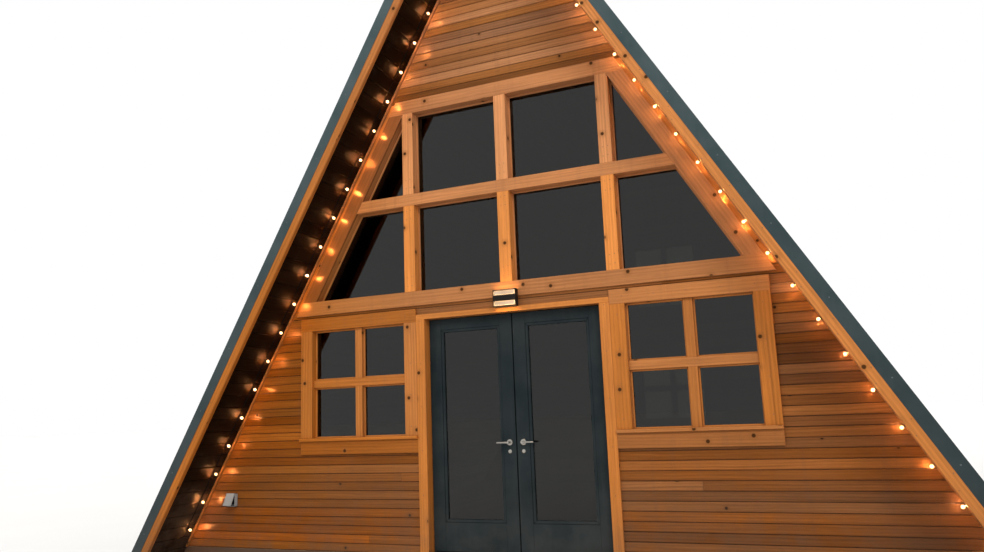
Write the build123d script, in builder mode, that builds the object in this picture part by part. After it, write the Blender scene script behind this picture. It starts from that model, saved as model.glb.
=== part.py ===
from build123d import *
import math
import os

# An A-frame cabin: two roof planes that reach the ground, with a gable wall set back under them.
# Front faces -Y, +Z is up, millimetres, origin at the centre of the footprint on the ground.

# Roof planes and footprint
slope = 60.0
half_width = 3533.0  # from the centre line to the soffit plane, at floor level
platform_height = 150.0  # ground to floor
foot_height = 30.0  # ground to the lower end of the roof
wall_span = 7300.0  # outer face of the front wall to outer face of the back wall
wall_thickness = 115.0
overhang = 535.0  # casing face to barge board face
roof_thickness = 107.0  # boards, insulation and battens, soffit to underside of the metal

# Metal roofing
sheet_thickness = 2.0
rib_height = 20.0
rib_base = 64.0
rib_top = 26.0
rib_pitch = 229.0
flashing_thickness = 3.0
flashing_face = 97.0  # visible height of the flashing on the gable edge
flashing_lap = 110.0  # reach of the flashing over the ribs
cap_reach = 210.0  # reach of the ridge cap down each slope

# Barge boards and battens
barge_thickness = 38.0
barge_drop = 35.0  # how far the barge board hangs below the soffit
batten_width = 20.0
casing_setback = 61.0  # soffit to the raked casing, along the face of the wall
trim_thickness = 22.0  # every board fixed to the face of the siding

# Upper window
head_strip = 86.0  # bare siding between the head board of the door and the sill board
upper_sill_height = 132.0
lower_pane_height = 810.0
upper_rail_height = 109.0
upper_pane_height = 794.0
upper_header_height = 131.0
rake_casing_width = 132.0
post_width = 111.0
post_spacing = 950.0
upper_glass_depth = 100.0  # casing face to glass

# Lower windows
window_width = 1003.0
window_height = 1007.0
casing_gap = 0.5  # door casing to window casing
window_head_gap = 30.0  # window casing to the sill board of the upper window
side_casing = 126.0
head_casing = 121.0
sill_thickness = 26.0
sill_projection = 28.0
apron_height = 122.0
mullion_width = 73.0
mullion_setback = 30.0
window_glass_depth = 75.0
lining_thickness = 20.0
glass_thickness = 6.0

# Back windows
back_storey_gap = 882.0  # head of the lower window to the sill of the upper one

# Double door
door_half = 812.0  # centre line to the face of the jamb
door_height = 2038.0  # floor to the underside of the head
jamb_thickness = 28.0
threshold_height = 18.0
door_casing_width = 86.0
door_head_casing = 45.0
leaf_thickness = 45.0
leaf_side_gap = 5.0
leaf_end_gap = 6.0
meeting_gap = 10.0
stile_width = 115.0
top_rail = 95.0
bottom_rail = 240.0

# Hinges and handles
hinge_height = 100.0
hinge_radius = 7.0
hinge_standoff = 2.0
hinge_plate = 3.0
hinge_plate_width = 34.0
hinge_play = 0.4
hinge_inset = 230.0
lever_height = 930.0
lever_length = 115.0
lever_radius = 9.0
lever_projection = 52.0
rose_radius = 26.0
rose_thickness = 8.0

# Wall light over the door
light_width = 210.0
light_height = 147.0
light_depth = 65.0
light_rise = 40.0  # underside of the door head to the underside of the light
light_band = 54.0
light_lip = 9.0
light_bar = 6.0  # bars and end plates of the open frame

# Outlet box with a lid that stands open at the foot
outlet_x = -2960.0
outlet_bottom = 388.0
outlet_width = 100.0
outlet_height = 120.0
outlet_depth = 40.0
outlet_wall = 5.0
outlet_lid = 6.0
outlet_lid_angle = 26.0
outlet_barrel_radius = 5.0

# String of lights along each rake
cable_radius = 4.0
cable_gap = 0.3
cable_forward = 95.0  # casing face to cable
socket_radius = 10.0
socket_length = 26.0
left_socket_pitch = 304.6
left_first_socket = 141.0  # from the ridge, along the slope
right_socket_pitch = 302.6
right_first_socket = 169.0
last_socket_height = 160.0  # above the floor
cable_lead = 100.0  # cable beyond the first and the last socket

# Derived levels and planes
rise = math.tan(math.radians(slope))
sine = math.sin(math.radians(slope))
cosine = math.cos(math.radians(slope))
floor_z = platform_height
apex_z = floor_z + half_width * rise
front_siding = -wall_span / 2
front_face = front_siding - trim_thickness
front_inside = front_siding + wall_thickness
gable_y = wall_span / 2 + trim_thickness + overhang
deck_end = gable_y - barge_thickness
metal_bottom = roof_thickness
rib_crest = metal_bottom + sheet_thickness + rib_height
flashing_top = rib_crest + flashing_thickness
cap_top = flashing_top + flashing_thickness
batten_inner = -batten_width
casing_outer = -casing_setback
rake_inner = casing_outer - rake_casing_width
upper_sill_bottom = door_height + door_head_casing + head_strip
upper_sill_top = upper_sill_bottom + upper_sill_height
upper_rail_bottom = upper_sill_top + lower_pane_height
upper_header_bottom = upper_rail_bottom + upper_rail_height + upper_pane_height
upper_header_top = upper_header_bottom + upper_header_height
window_centre = door_half + door_casing_width + casing_gap + side_casing + window_width / 2
window_bottom = upper_sill_bottom - window_head_gap - head_casing - window_height
back_upper_bottom = window_bottom + window_height + back_storey_gap
light_bottom = door_height + light_rise
door_rough = door_half + jamb_thickness
head_rough = door_height + jamb_thickness
leaf_outer = front_inside - leaf_thickness
hinge_y = front_inside + hinge_standoff + hinge_radius
leaf_bottom = threshold_height + leaf_end_gap
leaf_top = door_height - leaf_end_gap

os.makedirs("parts", exist_ok=True)


def rake_x(depth, z):
    """Half-width at height z of the rake line that lies depth outside the soffit plane."""
    return (apex_z - z) / rise + depth / sine


def rake_top(depth):
    """Height at the centre line of the rake line that lies depth outside the soffit plane."""
    return apex_z + depth / cosine


def rake_band(side, inner, outer, bottom):
    """Outline of a board along one rake, mitred on the centre line."""
    return [
        (side * rake_x(inner, bottom), bottom),
        (side * rake_x(outer, bottom), bottom),
        (0, rake_top(outer)),
        (0, rake_top(inner)),
    ]


def rake_trapezoid(depth, bottom, top):
    """Outline of the space between both rakes, from bottom to top."""
    return [
        (-rake_x(depth, bottom), bottom),
        (rake_x(depth, bottom), bottom),
        (rake_x(depth, top), top),
        (-rake_x(depth, top), top),
    ]


def box_outline(x0, x1, z0, z1):
    return [(x0, z0), (x1, z0), (x1, z1), (x0, z1)]


def plate(outline, y0, y1, mode=Mode.ADD):
    """Adds an upright plate with an outline in X and Z, from y0 to y1."""
    with BuildSketch(Plane.XZ.offset(-y0)) as face:
        with BuildLine():
            Polyline(*outline, close=True)
        make_face()
    extrude(face.sketch, amount=y0 - y1, mode=mode)


def keep(piece, name):
    piece.part.label = name
    export_step(piece.part, "parts/" + name + ".step")


# Floor platform between the roof planes, under the walls
with BuildPart() as floor_platform:
    plate(
        [
            (-rake_x(0, foot_height), foot_height),
            (-rake_x(0, foot_height), 0),
            (rake_x(0, foot_height), 0),
            (rake_x(0, foot_height), foot_height),
            (rake_x(0, floor_z), floor_z),
            (-rake_x(0, floor_z), floor_z),
        ],
        front_siding,
        -front_siding,
    )
keep(floor_platform, "floor_platform")


# Front wall beside the doorway, on each side, with a window hole
def window_hole(x_centre, bottom, height, y0, y1):
    """Cuts the hole for a window and its lining."""
    half = window_width / 2 + lining_thickness
    outline = box_outline(
        x_centre - half,
        x_centre + half,
        floor_z + bottom - lining_thickness,
        floor_z + bottom + height + lining_thickness,
    )
    plate(outline, y0, y1, mode=Mode.SUBTRACT)


def side_wall(side):
    split = floor_z + upper_sill_bottom
    with BuildPart() as wall:
        plate(
            [
                (side * door_rough, floor_z),
                (side * rake_x(0, floor_z), floor_z),
                (side * rake_x(0, split), split),
                (side * door_rough, split),
            ],
            front_siding,
            front_inside,
        )
        window_hole(side * window_centre, window_bottom, window_height, front_siding, front_inside)
    return wall


front_wall_left = side_wall(-1)
keep(front_wall_left, "front_wall_left")
front_wall_right = side_wall(1)
keep(front_wall_right, "front_wall_right")

# Front wall over the doorway and up to the ridge, with the tapered hole of the upper window
with BuildPart() as front_wall_top:
    split_z = floor_z + upper_sill_bottom
    plate(
        [
            (-rake_x(0, split_z), split_z),
            (-door_rough, split_z),
            (-door_rough, floor_z + head_rough),
            (door_rough, floor_z + head_rough),
            (door_rough, split_z),
            (rake_x(0, split_z), split_z),
            (0, apex_z),
        ],
        front_siding,
        front_inside,
    )
    plate(
        rake_trapezoid(
            rake_inner + lining_thickness,
            floor_z + upper_sill_top - lining_thickness,
            floor_z + upper_header_bottom + lining_thickness,
        ),
        front_siding,
        front_inside,
        mode=Mode.SUBTRACT,
    )
keep(front_wall_top, "front_wall_top")

# Back wall, one gable with a window on each storey
with BuildPart() as back_wall:
    plate(
        [(-rake_x(0, floor_z), floor_z), (rake_x(0, floor_z), floor_z), (0, apex_z)],
        -front_inside,
        -front_siding,
    )
    window_hole(0, window_bottom, window_height, -front_inside, -front_siding)
    window_hole(0, back_upper_bottom, window_height, -front_inside, -front_siding)
keep(back_wall, "back_wall")


# Roof decks: boards, insulation and battens of each slope in one slab
def roof_deck(side):
    with BuildPart() as deck:
        plate(rake_band(side, 0, roof_thickness, foot_height), -deck_end, deck_end)
    return deck


roof_deck_left = roof_deck(-1)
keep(roof_deck_left, "roof_deck_left")
roof_deck_right = roof_deck(1)
keep(roof_deck_right, "roof_deck_right")


# Ribbed metal roofing: the profile across the slope, drawn out along the slope
def rib_profile():
    """Outline of the sheet with its ribs, in distance along the ridge and height off the deck."""
    count = int((2 * gable_y - rib_base) // rib_pitch) + 1
    first = -rib_pitch * (count - 1) / 2
    lower = []
    upper = []
    for i in range(count):
        y = first + i * rib_pitch
        for reach, lift in ((-rib_base, 0), (-rib_top, 1), (rib_top, 1), (rib_base, 0)):
            edge = reach / 2 - math.copysign(sheet_thickness, reach) * 0.6
            upper.append((y + reach / 2, metal_bottom + sheet_thickness + lift * rib_height))
            lower.append((y + edge, metal_bottom + lift * rib_height))
    start = [(-gable_y, metal_bottom), (-gable_y, metal_bottom + sheet_thickness)]
    end = [(gable_y, metal_bottom + sheet_thickness), (gable_y, metal_bottom)]
    return start + upper + end + lower[::-1]


def roof_metal(side):
    run = (rake_top(0) - foot_height) / sine + 2 * rib_crest
    along = Plane(
        origin=(0, 0, apex_z),
        x_dir=(0, side, 0),
        z_dir=(side * cosine, 0, -sine),
    )
    with BuildPart() as metal:
        with BuildSketch(along.offset(-2 * rib_crest)):
            with BuildLine():
                Polyline(*rib_profile(), close=True)
            make_face()
        extrude(amount=run + 4 * rib_crest)
        split(bisect_by=Plane.YZ, keep=Keep.TOP if side > 0 else Keep.BOTTOM)
        split(bisect_by=Plane.XY.offset(foot_height), keep=Keep.TOP)
    return metal


roof_metal_left = roof_metal(-1)
keep(roof_metal_left, "roof_metal_left")
roof_metal_right = roof_metal(1)
keep(roof_metal_right, "roof_metal_right")

# Ridge cap, one bent sheet over the ends of both roof sheets
with BuildPart() as ridge_cap:
    cap_drop = cap_reach * sine
    inner_end = rake_top(flashing_top) - cap_drop
    outer_end = inner_end + (cap_top - flashing_top) * cosine
    plate(
        [
            (0, rake_top(flashing_top)),
            (rake_x(flashing_top, inner_end), inner_end),
            (rake_x(cap_top, outer_end), outer_end),
            (0, rake_top(cap_top)),
            (-rake_x(cap_top, outer_end), outer_end),
            (-rake_x(flashing_top, inner_end), inner_end),
        ],
        -gable_y - flashing_thickness,
        gable_y + flashing_thickness,
    )
keep(ridge_cap, "ridge_cap")


# Barge boards on the ends of the roof decks
def barge(side, end):
    with BuildPart() as board:
        plate(
            rake_band(side, -barge_drop, roof_thickness, foot_height),
            end * deck_end,
            end * gable_y,
        )
    return board


barge_front_left = barge(-1, -1)
keep(barge_front_left, "barge_front_left")
barge_front_right = barge(1, -1)
keep(barge_front_right, "barge_front_right")
barge_back_left = barge(-1, 1)
keep(barge_back_left, "barge_back_left")
barge_back_right = barge(1, 1)
keep(barge_back_right, "barge_back_right")


# Folded metal flashing over each gable edge: a face on the barge board and a leg over the ribs
def rake_flashing(side, end):
    face_y = end * gable_y
    front_y = face_y + end * flashing_thickness
    with BuildPart() as flashing:
        plate(
            rake_band(side, flashing_top - flashing_face, flashing_top, foot_height),
            face_y,
            front_y,
        )
        plate(
            rake_band(side, rib_crest, flashing_top, foot_height),
            front_y - end * flashing_lap,
            front_y,
        )
    return flashing


flashing_front_left = rake_flashing(-1, -1)
keep(flashing_front_left, "flashing_front_left")
flashing_front_right = rake_flashing(1, -1)
keep(flashing_front_right, "flashing_front_right")
flashing_back_left = rake_flashing(-1, 1)
keep(flashing_back_left, "flashing_back_left")
flashing_back_right = rake_flashing(1, 1)
keep(flashing_back_right, "flashing_back_right")


# Battens that cover the joint of the front wall and the soffit
def rake_batten(side):
    with BuildPart() as batten:
        plate(rake_band(side, batten_inner, 0, floor_z), front_face, front_siding)
    return batten


rake_batten_left = rake_batten(-1)
keep(rake_batten_left, "rake_batten_left")
rake_batten_right = rake_batten(1)
keep(rake_batten_right, "rake_batten_right")

# Upper window casing: header, sill board and two raked boards
with BuildPart() as upper_window_casing:
    plate(
        rake_trapezoid(casing_outer, floor_z + upper_sill_bottom, floor_z + upper_header_top),
        front_face,
        front_siding,
    )
    plate(
        rake_trapezoid(rake_inner, floor_z + upper_sill_top, floor_z + upper_header_bottom),
        front_face,
        front_siding,
        mode=Mode.SUBTRACT,
    )
keep(upper_window_casing, "upper_window_casing")

# Upper window frame: lining, three posts and the rail between the two rows of panes
with BuildPart() as upper_window_frame:
    sill_z = floor_z + upper_sill_top
    head_z = floor_z + upper_header_bottom
    rail_z = floor_z + upper_rail_bottom
    plate(
        rake_trapezoid(rake_inner + lining_thickness, sill_z - lining_thickness, head_z + lining_thickness),
        front_siding,
        front_inside,
    )
    plate(rake_trapezoid(rake_inner, sill_z, head_z), front_siding, front_inside, mode=Mode.SUBTRACT)
    glass_y = front_face + upper_glass_depth
    for x in (-post_spacing, 0, post_spacing):
        inner = x - math.copysign(post_width / 2, x)
        outer = x + math.copysign(post_width / 2, x)
        top = min(head_z, apex_z - (abs(outer) - rake_inner / sine) * rise)
        plate(
            [(inner, sill_z), (outer, sill_z), (outer, top), (inner, head_z)],
            front_face,
            glass_y,
        )
    plate(
        rake_trapezoid(rake_inner, rail_z, rail_z + upper_rail_height),
        front_face,
        glass_y,
    )
keep(upper_window_frame, "upper_window_frame")

with BuildPart() as upper_window_glass:
    plate(
        rake_trapezoid(rake_inner, floor_z + upper_sill_top, floor_z + upper_header_bottom),
        front_face + upper_glass_depth,
        front_face + upper_glass_depth + glass_thickness,
    )
keep(upper_window_glass, "upper_window_glass")


# Lower windows: outlines shared by the casing, the frame and the glass
def window_outline(x_centre, bottom, grow):
    half = window_width / 2 + grow
    return box_outline(
        x_centre - half,
        x_centre + half,
        floor_z + bottom - grow,
        floor_z + bottom + window_height + grow,
    )


def add_casing(x_centre, bottom, face_y, siding_y):
    """Adds side and head casings, a sill nosing and an apron round a window."""
    half = window_width / 2
    sill_top = floor_z + bottom
    head = sill_top + window_height
    out = math.copysign(1, face_y)
    plate(
        box_outline(
            x_centre - half - side_casing,
            x_centre + half + side_casing,
            sill_top - sill_thickness - apron_height,
            head + head_casing,
        ),
        face_y,
        siding_y,
    )
    plate(
        box_outline(x_centre - half, x_centre + half, sill_top, head),
        face_y,
        siding_y,
        mode=Mode.SUBTRACT,
    )
    plate(
        box_outline(
            x_centre - half - side_casing,
            x_centre + half + side_casing,
            sill_top - sill_thickness,
            sill_top,
        ),
        face_y + out * sill_projection,
        siding_y,
    )


def add_frame(x_centre, bottom, face_y, siding_y, inside_y):
    """Adds the lining and the cross of mullions in front of the glass."""
    inward = math.copysign(1, inside_y - siding_y)
    half = window_width / 2
    middle = floor_z + bottom + window_height / 2
    y0 = face_y + inward * mullion_setback
    y1 = face_y + inward * window_glass_depth
    plate(window_outline(x_centre, bottom, lining_thickness), siding_y, inside_y)
    plate(window_outline(x_centre, bottom, 0), siding_y, inside_y, mode=Mode.SUBTRACT)
    plate(
        box_outline(
            x_centre - mullion_width / 2,
            x_centre + mullion_width / 2,
            middle - window_height / 2,
            middle + window_height / 2,
        ),
        y0,
        y1,
    )
    plate(
        box_outline(x_centre - half, x_centre + half, middle - mullion_width / 2, middle + mullion_width / 2),
        y0,
        y1,
    )


def window_glass(x_centre, bottom, face_y):
    inward = -math.copysign(1, face_y)
    y0 = face_y + inward * window_glass_depth
    with BuildPart() as pane:
        plate(window_outline(x_centre, bottom, 0), y0, y0 + inward * glass_thickness)
    return pane


with BuildPart() as left_window_casing:
    add_casing(-window_centre, window_bottom, front_face, front_siding)
keep(left_window_casing, "left_window_casing")

with BuildPart() as left_window_frame:
    add_frame(-window_centre, window_bottom, front_face, front_siding, front_inside)
keep(left_window_frame, "left_window_frame")

left_window_glass = window_glass(-window_centre, window_bottom, front_face)
keep(left_window_glass, "left_window_glass")

with BuildPart() as right_window_casing:
    add_casing(window_centre, window_bottom, front_face, front_siding)
keep(right_window_casing, "right_window_casing")

with BuildPart() as right_window_frame:
    add_frame(window_centre, window_bottom, front_face, front_siding, front_inside)
keep(right_window_frame, "right_window_frame")

right_window_glass = window_glass(window_centre, window_bottom, front_face)
keep(right_window_glass, "right_window_glass")

# Back windows, each with its casing and frame in one piece
with BuildPart() as back_lower_window_frame:
    add_casing(0, window_bottom, -front_face, -front_siding)
    add_frame(0, window_bottom, -front_face, -front_siding, -front_inside)
keep(back_lower_window_frame, "back_lower_window_frame")

back_lower_window_glass = window_glass(0, window_bottom, -front_face)
keep(back_lower_window_glass, "back_lower_window_glass")

with BuildPart() as back_upper_window_frame:
    add_casing(0, back_upper_bottom, -front_face, -front_siding)
    add_frame(0, back_upper_bottom, -front_face, -front_siding, -front_inside)
keep(back_upper_window_frame, "back_upper_window_frame")

back_upper_window_glass = window_glass(0, back_upper_bottom, -front_face)
keep(back_upper_window_glass, "back_upper_window_glass")

# Door casing: two side boards and a thin head board
with BuildPart() as door_casing:
    casing_top = floor_z + door_height + door_head_casing
    plate(
        [
            (-door_half - door_casing_width, floor_z),
            (-door_half, floor_z),
            (-door_half, floor_z + door_height),
            (door_half, floor_z + door_height),
            (door_half, floor_z),
            (door_half + door_casing_width, floor_z),
            (door_half + door_casing_width, casing_top),
            (-door_half - door_casing_width, casing_top),
        ],
        front_face,
        front_siding,
    )
keep(door_casing, "door_casing")

# Door frame: jambs, head and threshold, with the fixed knuckles of the hinges on the room side
hinge_levels = [
    floor_z + leaf_bottom + hinge_inset,
    floor_z + (leaf_bottom + leaf_top) / 2,
    floor_z + leaf_top - hinge_inset,
]
knuckle = hinge_height / 3

with BuildPart() as door_frame:
    plate(
        box_outline(-door_rough, door_rough, floor_z, floor_z + head_rough),
        front_siding,
        front_inside,
    )
    plate(
        box_outline(-door_half, door_half, floor_z + threshold_height, floor_z + door_height),
        front_siding,
        front_inside,
        mode=Mode.SUBTRACT,
    )
    for side in (-1, 1):
        for level in hinge_levels:
            for z0 in (level - hinge_height / 2, level + knuckle / 2):
                with BuildSketch(Plane.XY.offset(z0)):
                    with Locations((side * door_half, hinge_y)):
                        Circle(hinge_radius)
                    with Locations((side * (door_half + hinge_radius), front_inside + hinge_plate / 2)):
                        Rectangle(2 * hinge_radius, hinge_plate)
                    with Locations((side * (door_half + hinge_radius / 2), (front_inside + hinge_y) / 2)):
                        Rectangle(hinge_radius, hinge_y - front_inside)
                extrude(amount=knuckle)
keep(door_frame, "door_frame")


# Door leaves with one large pane each, hung on the outer sides
def leaf_edges(side):
    return sorted((side * meeting_gap / 2, side * (door_half - leaf_side_gap)))


def door_leaf(side):
    x0, x1 = leaf_edges(side)
    z0 = floor_z + leaf_bottom
    z1 = floor_z + leaf_top
    with BuildPart() as leaf:
        plate(box_outline(x0, x1, z0, z1), leaf_outer, front_inside)
        plate(
            box_outline(x0 + stile_width, x1 - stile_width, z0 + bottom_rail, z1 - top_rail),
            leaf_outer,
            front_inside,
            mode=Mode.SUBTRACT,
        )
    return leaf


def door_glass(side):
    x0, x1 = leaf_edges(side)
    middle = leaf_outer + leaf_thickness / 2
    with BuildPart() as pane:
        plate(
            box_outline(
                x0 + stile_width,
                x1 - stile_width,
                floor_z + leaf_bottom + bottom_rail,
                floor_z + leaf_top - top_rail,
            ),
            middle - glass_thickness / 2,
            middle + glass_thickness / 2,
        )
    return pane


def door_hardware(side):
    """Moving knuckles with their plates, and a lever with its rose on both faces of the leaf."""
    z_lever = floor_z + lever_height
    x_lever = side * (meeting_gap / 2 + stile_width / 2)
    x_edge = door_half - leaf_side_gap
    length = knuckle - 2 * hinge_play
    with BuildPart() as hardware:
        for level in hinge_levels:
            with BuildSketch(Plane.XY.offset(level - length / 2)):
                with Locations((side * door_half, hinge_y)):
                    Circle(hinge_radius)
                with Locations((side * (door_half - hinge_radius), front_inside + hinge_plate / 2)):
                    Rectangle(2 * hinge_radius, hinge_plate)
                with Locations((side * (door_half - hinge_radius / 2), (front_inside + hinge_y) / 2)):
                    Rectangle(hinge_radius, hinge_y - front_inside - 2 * hinge_play)
            extrude(amount=length)
            with BuildSketch(Plane.XY.offset(level - hinge_height / 2)):
                with Locations((side * (x_edge - hinge_plate_width / 2 - leaf_side_gap), front_inside + hinge_plate / 2)):
                    Rectangle(hinge_plate_width, hinge_plate)
            extrude(amount=hinge_height)
        for face_y, out in ((leaf_outer, -1), (front_inside, 1)):
            with BuildSketch(Plane.XZ.offset(-face_y)):
                with Locations((x_lever, z_lever)):
                    Circle(rose_radius)
            extrude(amount=-out * rose_thickness)
            with BuildSketch(Plane.XZ.offset(-face_y)):
                with Locations((x_lever, z_lever)):
                    Circle(lever_radius)
            extrude(amount=-out * lever_projection)
            with BuildSketch(Plane.YZ.offset(x_lever - side * lever_radius)):
                with Locations((face_y + out * (lever_projection - lever_radius), z_lever)):
                    Circle(lever_radius)
            extrude(amount=side * lever_length)
    return hardware


door_left_leaf = door_leaf(-1)
keep(door_left_leaf, "door_left_leaf")
door_left_glass = door_glass(-1)
keep(door_left_glass, "door_left_glass")
door_left_hardware = door_hardware(-1)
keep(door_left_hardware, "door_left_hardware")
door_right_leaf = door_leaf(1)
keep(door_right_leaf, "door_right_leaf")
door_right_glass = door_glass(1)
keep(door_right_glass, "door_right_glass")
door_right_hardware = door_hardware(1)
keep(door_right_hardware, "door_right_hardware")

# Wall light: back plate, end plates and front bars, with a middle band and a lens on each side of it
with BuildPart() as wall_light:
    light_z = floor_z + light_bottom
    plate(
        box_outline(-light_width / 2, light_width / 2, light_z, light_z + light_height),
        front_face - light_lip,
        front_face,
    )
    band_z = light_z + (light_height - light_band) / 2
    plate(
        box_outline(-light_width / 2, light_width / 2, band_z, band_z + light_band),
        front_face - light_depth,
        front_face,
    )
    plate(
        box_outline(
            -light_width / 2 + light_bar,
            light_width / 2 - light_bar,
            light_z + light_bar,
            light_z + light_height - light_bar,
        ),
        front_face - light_depth + light_lip,
        front_face,
    )
    for x0 in (-light_width / 2, light_width / 2 - light_bar):
        plate(
            box_outline(x0, x0 + light_bar, light_z, light_z + light_height),
            front_face - light_depth,
            front_face,
        )
    for z0 in (light_z, light_z + light_height - light_bar):
        plate(
            box_outline(-light_width / 2, light_width / 2, z0, z0 + light_bar),
            front_face - light_depth,
            front_face - light_depth + light_lip + light_bar,
        )
keep(wall_light, "wall_light")

# Outlet box: an open shell with a lid that hangs from a barrel along its top edge
with BuildPart() as outlet_box:
    x0 = outlet_x - outlet_width / 2
    x1 = outlet_x + outlet_width / 2
    z0 = floor_z + outlet_bottom
    z1 = z0 + outlet_height
    outlet_face = front_siding - outlet_depth
    plate(box_outline(x0, x1, z0, z1), outlet_face, front_siding)
    plate(
        box_outline(x0 + outlet_wall, x1 - outlet_wall, z0 + outlet_wall, z1 - outlet_wall),
        outlet_face,
        front_siding - outlet_wall,
        mode=Mode.SUBTRACT,
    )
    lid_turn = math.radians(outlet_lid_angle)
    lid_normal = (0, -math.cos(lid_turn), math.sin(lid_turn))
    with BuildSketch(Plane(origin=(x0, outlet_face, z1), x_dir=(1, 0, 0), z_dir=lid_normal)):
        Rectangle(outlet_width, outlet_height, align=(Align.MIN, Align.MAX))
    extrude(amount=outlet_lid)
    with BuildSketch(Plane(origin=(x0, outlet_face, z1), x_dir=(0, 1, 0), z_dir=(1, 0, 0))):
        Circle(outlet_barrel_radius)
    extrude(amount=outlet_width)
keep(outlet_box, "outlet_box")


# Strings of lights: a cable under each soffit with a row of sockets
def light_string(side, first_socket, socket_pitch):
    down = (side * cosine, 0, -sine)
    start = Vector(0, front_face - cable_forward, apex_z)
    offset = cable_radius + cable_gap
    inward = Vector(-side * sine, 0, -cosine)
    top = start + inward * offset + Vector(*down) * (first_socket - cable_lead)
    reach = (apex_z - floor_z - last_socket_height) / sine
    count = int((reach - first_socket) // socket_pitch) + 1
    length = (count - 1) * socket_pitch + 2 * cable_lead
    with BuildPart() as string:
        with BuildSketch(Plane(origin=top, z_dir=down)):
            Circle(cable_radius)
        extrude(amount=length)
        for i in range(count):
            seat = start + inward * offset + Vector(*down) * (first_socket + i * socket_pitch)
            with BuildSketch(Plane(origin=seat, z_dir=inward)):
                Circle(socket_radius)
            extrude(amount=socket_length)
    return string


light_string_left = light_string(-1, left_first_socket, left_socket_pitch)
keep(light_string_left, "light_string_left")
light_string_right = light_string(1, right_first_socket, right_socket_pitch)
keep(light_string_right, "light_string_right")
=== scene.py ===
"""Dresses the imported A-frame cabin: siding, trim, roofing, windows, doors and lights."""

import math
import random
from functools import partial

import bmesh
import bpy
from mathutils import Matrix, Vector


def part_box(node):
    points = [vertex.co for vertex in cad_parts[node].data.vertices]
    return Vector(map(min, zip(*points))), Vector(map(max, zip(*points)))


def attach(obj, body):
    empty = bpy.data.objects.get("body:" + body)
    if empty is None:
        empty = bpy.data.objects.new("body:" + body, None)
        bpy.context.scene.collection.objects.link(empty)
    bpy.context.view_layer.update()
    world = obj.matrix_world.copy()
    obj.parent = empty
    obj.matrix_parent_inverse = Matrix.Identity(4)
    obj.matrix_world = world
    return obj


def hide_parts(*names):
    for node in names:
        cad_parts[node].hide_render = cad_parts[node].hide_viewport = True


bl_info = {
    "name": "A-frame Cabin Dressing",
    "version": (1, 0, 0),
    "blender": (4, 5, 0),
    "location": "View3D > Sidebar > Cabin",
    "description": "Builds the boards, roofing, windows, doors and lights of an A-frame cabin",
    "category": "Object",
}

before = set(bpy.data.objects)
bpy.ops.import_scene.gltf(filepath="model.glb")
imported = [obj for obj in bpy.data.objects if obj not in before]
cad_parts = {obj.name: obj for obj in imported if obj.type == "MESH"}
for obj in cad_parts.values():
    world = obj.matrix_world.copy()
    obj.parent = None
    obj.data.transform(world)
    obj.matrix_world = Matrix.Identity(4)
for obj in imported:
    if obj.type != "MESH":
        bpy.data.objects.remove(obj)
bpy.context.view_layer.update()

# Planes and levels of the building, in metres
SLOPE = math.radians(60.0)
SINE, COSINE, RISE = math.sin(SLOPE), math.cos(SLOPE), math.tan(SLOPE)
FLOOR = 0.150
FOOT = 0.030  # lower end of the roof
APEX = FLOOR + 3.533 * RISE  # where the soffit planes meet
INSIDE = 3.535  # room side of the gable walls
SIDING = 3.650  # face of the siding, both gables
FACE = 3.672  # face of the trim boards
DECK_END = 4.169
GABLE = 4.207  # face of the barge boards
GABLE_METAL = GABLE + 0.003  # face of the flashings

# Siding boards
SHELL = 0.010  # thickness
BOARD_END = 0.0006  # from the joint of two boards to the end of each
FIRST_LENGTH, LENGTH = (1.6, 6.5), (3.6, 6.0)  # ranges, for the first board of a course and others
LEAST_LENGTH = 0.9  # of its last board
LAST_COURSE, PEAK = APEX - 0.030, APEX - 0.012  # limits of the joints and of the boards

# Depths outside the soffit plane, below zero on the wall inside it
ROOF = 0.107
FLASHING_TOP = 0.132
FLASHING_FACE = 0.097
COURSE_END = -0.004
BATTEN = -0.020
BARGE_DROP = -0.035
CASING = -0.061
RAKE_CASING = -0.193

# Upper window
SILL_BOTTOM, SILL_TOP = 2.319, 2.451
RAIL = (3.261, 3.370)
HEADER = (4.164, 4.295)
POSTS = (-0.950, 0.0, 0.950)
POST_HALF = 0.0555
UPPER_GLASS = 3.572

# Lower windows, and those of the back gable
WINDOW_X = 1.526
WINDOW_HALF = 0.5015
LOWER, BACK_UPPER = (1.161, 2.168), (3.050, 4.057)
WINDOW_GLASS = 3.597
LINING = 0.020
SIDE_CASING, HEAD_CASING, APRON = 0.126, 0.121, 0.122
NOSING, NOSING_REACH = 0.026, 0.028
MULLION, MULLION_SETBACK = 0.0365, 0.030
BEAD_DEPTH = 0.013

# Doors
DOOR_HALF = 0.812
DOOR_TOP = 2.188
DOOR_CASING, DOOR_HEAD = 0.086, 0.045
JAMB, THRESHOLD = 0.028, 0.018
LEAF, LEAF_GAP = 0.045, 0.005
STILE, BOTTOM_RAIL, TOP_RAIL = 0.115, 0.240, 0.095
LEAF_LOW = FLOOR + THRESHOLD + 0.006
LEAF_HIGH = DOOR_TOP - 0.006
HINGE_INSET = 0.230
HINGE_LEVELS = (LEAF_LOW + HINGE_INSET, (LEAF_LOW + LEAF_HIGH) / 2, LEAF_HIGH - HINGE_INSET)
HINGE, HINGE_RADIUS, HINGE_PLATE = 0.100, 0.007, 0.003
HINGE_AXIS = HINGE_RADIUS + 0.002  # from the room side of the leaves
KNUCKLE = HINGE / 3
BACKSET, LEVER_HEIGHT, LEVER_REACH = 0.0625, 0.930, 0.043  # from the centre line, floor and leaf
LOCK_DROP = 0.075  # from the lever to the lock

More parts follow.
